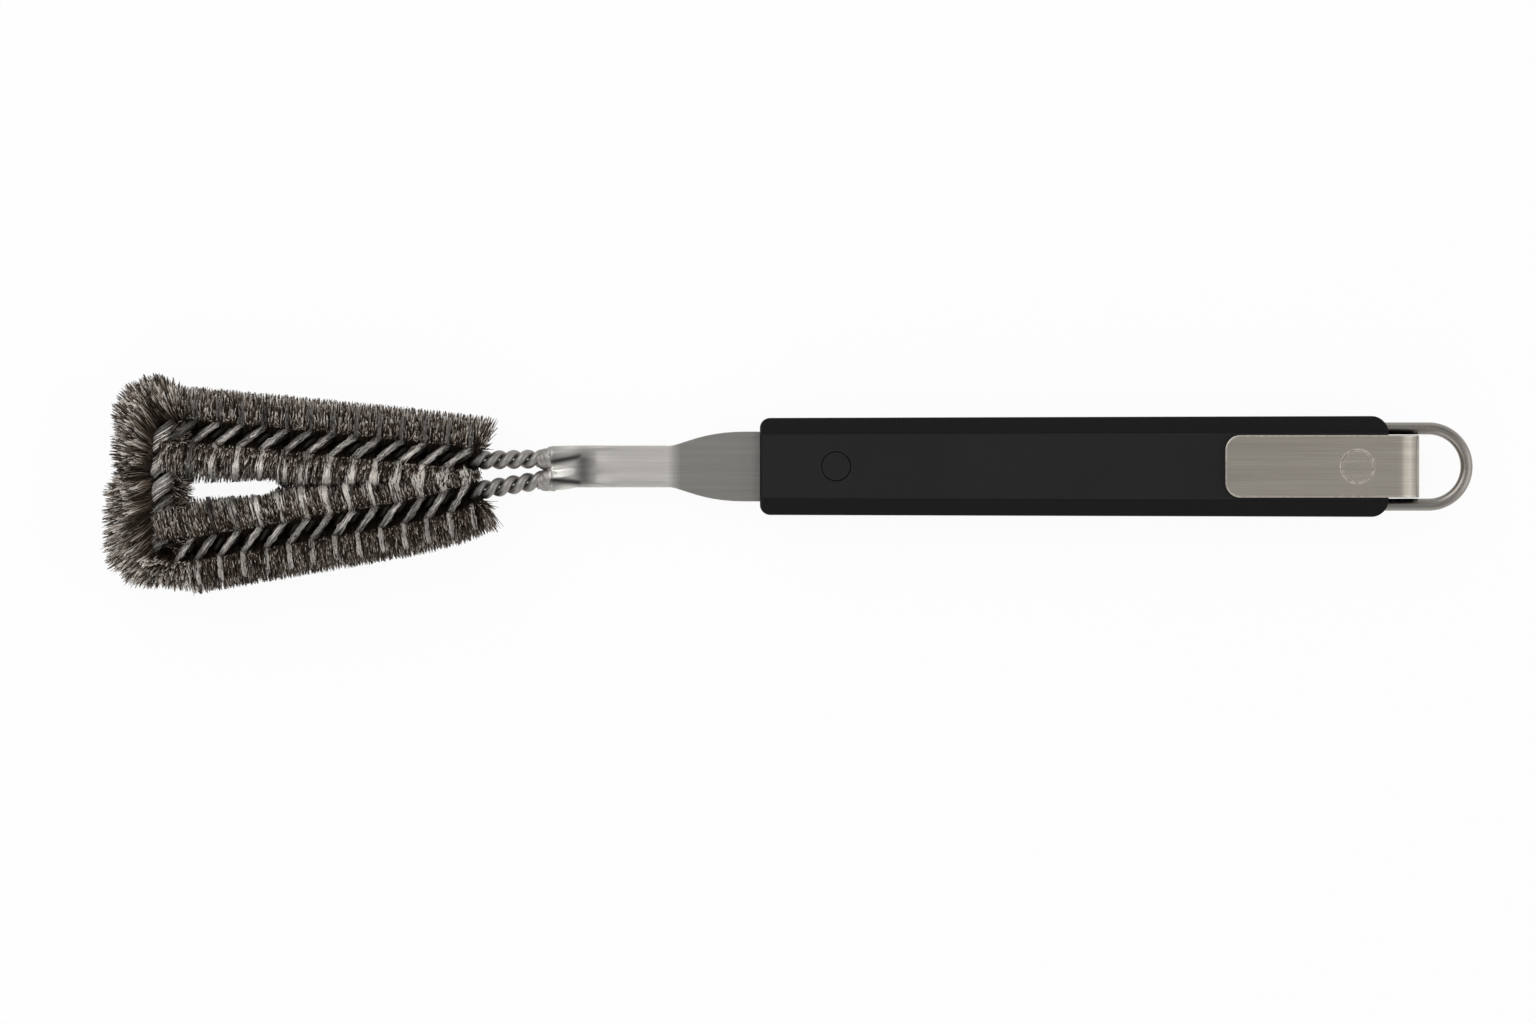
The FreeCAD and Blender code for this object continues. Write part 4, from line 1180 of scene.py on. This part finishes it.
class BRUSH_OT_rolls(bpy.types.Operator):
    """Make the rolled roots that cross over the core."""
    bl_idname = "brush.rolls"
    bl_label = "Rolled roots"

    def execute(self, context):
        fill = context.scene.brush_fill
        rolls = (("right_arm_rolls", lambda rng: arm_rolls(RIGHT_ARM, fill, rng), 1.3),
                 ("left_arm_rolls", lambda rng: arm_rolls(LEFT_ARM, fill, rng), 1.3),
                 ("front_bar_rolls", bar_rolls, 0.3))
        for offset, (name, paths_and_tone, stray) in enumerate(rolls):
            rng = np.random.default_rng(fill.seed + ROLL_SEED + offset)
            wire_piece(name, *paths_and_tone(rng), stray, ROLL_ENDS, "combed_wire_steel", [],
                       fill, rng)
        return {"FINISHED"}


class Dressing:
    """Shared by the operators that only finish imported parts: each says which, and with what."""

    def execute(self, context):
        for node, material in self.parts.items():
            dress(node, material)
        return {"FINISHED"}


class BRUSH_OT_core(Dressing, bpy.types.Operator):
    """Finish the two twisted core wires."""
    bl_idname = "brush.core"
    bl_label = "Twisted core"
    parts = dict.fromkeys(("core_strand_a", "core_strand_b"), "core_wire_steel")


class BRUSH_OT_shank(bpy.types.Operator):
    """Finish the pressed steel shank and its socket."""
    bl_idname = "brush.shank"
    bl_label = "Shank"

    def execute(self, context):
        dress("shank", "shank_steel")
        socket = new_object("pressed_socket", socket_mesh())
        finish_piece(socket, "socket_steel", [])
        for name, (start, end) in zip(("right_collar", "left_collar"), COLLAR_AXES):
            collar = new_object(name, collar_mesh(name, start, end))
            finish_piece(collar, "core_wire_steel", [])
        return {"FINISHED"}


class BRUSH_OT_handle(Dressing, bpy.types.Operator):
    """Finish the handle's shells and the plugs over its bolt."""
    bl_idname = "brush.handle"
    bl_label = "Handle"
    parts = dict.fromkeys(("handle_top_shell", "handle_bottom_shell", "top_plug", "bottom_plug"),
                          "moulded_handle_plastic")


class BRUSH_OT_fasteners(Dressing, bpy.types.Operator):
    """Finish the clamp bolt, its washer and its nut."""
    bl_idname = "brush.fasteners"
    bl_label = "Clamp bolt, washer and nut"
    parts = dict.fromkeys(("clamp_bolt", "clamp_washer", "clamp_nut"), "plated_fastener_steel")


class BRUSH_OT_strap(Dressing, bpy.types.Operator):
    """Finish the strap clip and its rivet."""
    bl_idname = "brush.strap"
    bl_label = "Strap clip and rivet"
    parts = {"strap_clip": "strap_steel", "rivet_tube": "rivet_steel", "rivet_pin": "rivet_steel"}


class BRUSH_OT_loop(Dressing, bpy.types.Operator):
    """Finish the hanging loop."""
    bl_idname = "brush.loop"
    bl_label = "Hanging loop"
    parts = {"hanging_loop": "loop_wire_steel"}


# ---------------------------------------------------------------- stage (metres)
VIEW_CENTRE = ((CAD_LOW + CAD_HIGH) / 2) + Vector((-0.0062, -0.0092, 0.0))
SENSOR_WIDTH = 36.0
CLIP_END = 20.0
STAGE_PROFILE = ((0.0, 0.0), (4.2, 0.0), (5.3, 0.2), (6.1, 0.8), (6.4, 1.8), (6.4, 3.0))
STAGE_SIDES = 96
STAGE_GLOW = 0.94
WHITE = (1.0, 1.0, 1.0, 1.0)
LAMPS = (("key", (-0.7, 0.85, 1.15), 1.4), ("fill", (1.35, -0.15, 0.95), 1.4),
         ("rim", (-0.6, -1.0, 1.0), 1.4), ("top", (0.57, 0.01, 2.2), 0.3))


def stage_material(settings):
    """Pale floor: it shows white to the camera and in reflections, and keeps its shadow."""
    material, tree, surface_in = empty_material("pale_floor")
    shade = ranged(tree, noise(tree, object_place(tree), 3.0), 0.0, 1.0, 0.995, 1.0)
    lit = add(tree, "ShaderNodeBsdfDiffuse", {"Color": tinted(tree, tuple(settings.floor), shade)})
    glow = add(tree, "ShaderNodeEmission", {"Color": WHITE, "Strength": 1.0})
    path = add(tree, "ShaderNodeLightPath").outputs
    seen = math_node(tree, "ADD", path["Is Camera Ray"], path["Is Glossy Ray"])
    seen = math_node(tree, "ADD", seen, path["Is Transmission Ray"], clamp=True)
    amount = math_node(tree, "MULTIPLY", seen, STAGE_GLOW)
    blend = add(tree, "ShaderNodeMixShader", {0: amount, 1: lit.outputs[0], 2: glow.outputs[0]})
    tree.links.new(blend.outputs[0], surface_in)
    return material


def stage_mesh():
    """A round floor that turns up into a low backdrop all round."""
    vertices = [(0.0, 0.0, 0.0)]
    for radius, height in STAGE_PROFILE[1:]:
        for side in range(STAGE_SIDES):
            turn = 2 * math.pi * side / STAGE_SIDES
            vertices.append((radius * math.cos(turn), radius * math.sin(turn), height))
    faces = []
    for side in range(STAGE_SIDES):
        after = (side + 1) % STAGE_SIDES
        faces.append((0, 1 + side, 1 + after))
        for ring in range(len(STAGE_PROFILE) - 2):
            low = 1 + ring * STAGE_SIDES
            high = low + STAGE_SIDES
            faces.append((low + side, high + side, high + after, low + after))
    mesh = bpy.data.meshes.new("floor")
    mesh.from_pydata(vertices, [], faces)
    mesh.polygons.foreach_set("use_smooth", [True] * len(faces))
    return mesh


def soft_lamp(name, place, power, size):
    """A square soft lamp that faces the brush."""
    lamp = bpy.data.lights.new(name, "AREA")
    lamp.energy = power
    lamp.size = size
    body = new_object(name, lamp)
    body.location = place
    body.rotation_euler = (VIEW_CENTRE - Vector(place)).to_track_quat("-Z", "Y").to_euler()


class BRUSH_OT_stage(bpy.types.Operator):
    """Make the floor, the plain light and the camera."""
    bl_idname = "brush.stage"
    bl_label = "Stage"

    def execute(self, context):
        scene = context.scene
        settings = scene.brush_stage
        floor = new_object("floor", stage_mesh())
        floor.data.materials.append(stage_material(settings))

        world = bpy.data.worlds.new("plain_sky")
        world.use_nodes = True
        connect(world.node_tree, world.node_tree.nodes["Background"],
                {"Color": WHITE, "Strength": settings.sky})
        scene.world = world

        for name, place, size in LAMPS:
            soft_lamp(name + "_lamp", place, getattr(settings, name + "_power"), size)

        lens = bpy.data.cameras.new("camera")
        lens.sensor_width = SENSOR_WIDTH
        distance = settings.camera_height - CORE_Z * MM
        lens.lens = SENSOR_WIDTH * distance / settings.view_width
        lens.clip_end = CLIP_END
        camera = new_object("camera", lens)
        camera.location = (VIEW_CENTRE.x, VIEW_CENTRE.y, settings.camera_height)
        scene.camera = camera
        scene.view_settings.view_transform = "Standard"
        return {"FINISHED"}


class BRUSH_PT_panel(bpy.types.Panel):
    """The brush's operators and settings."""
    bl_idname = "BRUSH_PT_panel"
    bl_label = "Grill Brush"
    bl_space_type = "VIEW_3D"
    bl_region_type = "UI"
    bl_category = "Brush"

    def draw(self, context):
        for operator in OPERATORS:
            self.layout.operator(operator.bl_idname)
        for group in (context.scene.brush_fill, context.scene.brush_finish,
                      context.scene.brush_stage):
            column = self.layout.column(align=True)
            for key in group.__annotations__:
                column.prop(group, key)


# ---------------------------------------------------------------- add-on
GROUPS = (("brush_fill", BRUSH_PG_fill), ("brush_finish", BRUSH_PG_finish),
          ("brush_stage", BRUSH_PG_stage))
OPERATORS = (BRUSH_OT_stage, BRUSH_OT_arms, BRUSH_OT_tufts, BRUSH_OT_rolls, BRUSH_OT_core,
             BRUSH_OT_shank, BRUSH_OT_handle, BRUSH_OT_fasteners, BRUSH_OT_strap, BRUSH_OT_loop)


def register():
    for name, group in GROUPS:
        bpy.utils.register_class(group)
        setattr(bpy.types.Scene, name, PointerProperty(type=group))
    for operator in OPERATORS:
        bpy.utils.register_class(operator)
    bpy.utils.register_class(BRUSH_PT_panel)


def unregister():
    bpy.utils.unregister_class(BRUSH_PT_panel)
    for operator in reversed(OPERATORS):
        bpy.utils.unregister_class(operator)
    for name, group in reversed(GROUPS):
        delattr(bpy.types.Scene, name)
        bpy.utils.unregister_class(group)


def main():
    register()
    for operator in OPERATORS:
        family, name = operator.bl_idname.split(".")
        getattr(getattr(bpy.ops, family), name)()


if __name__ == "__main__":
    main()
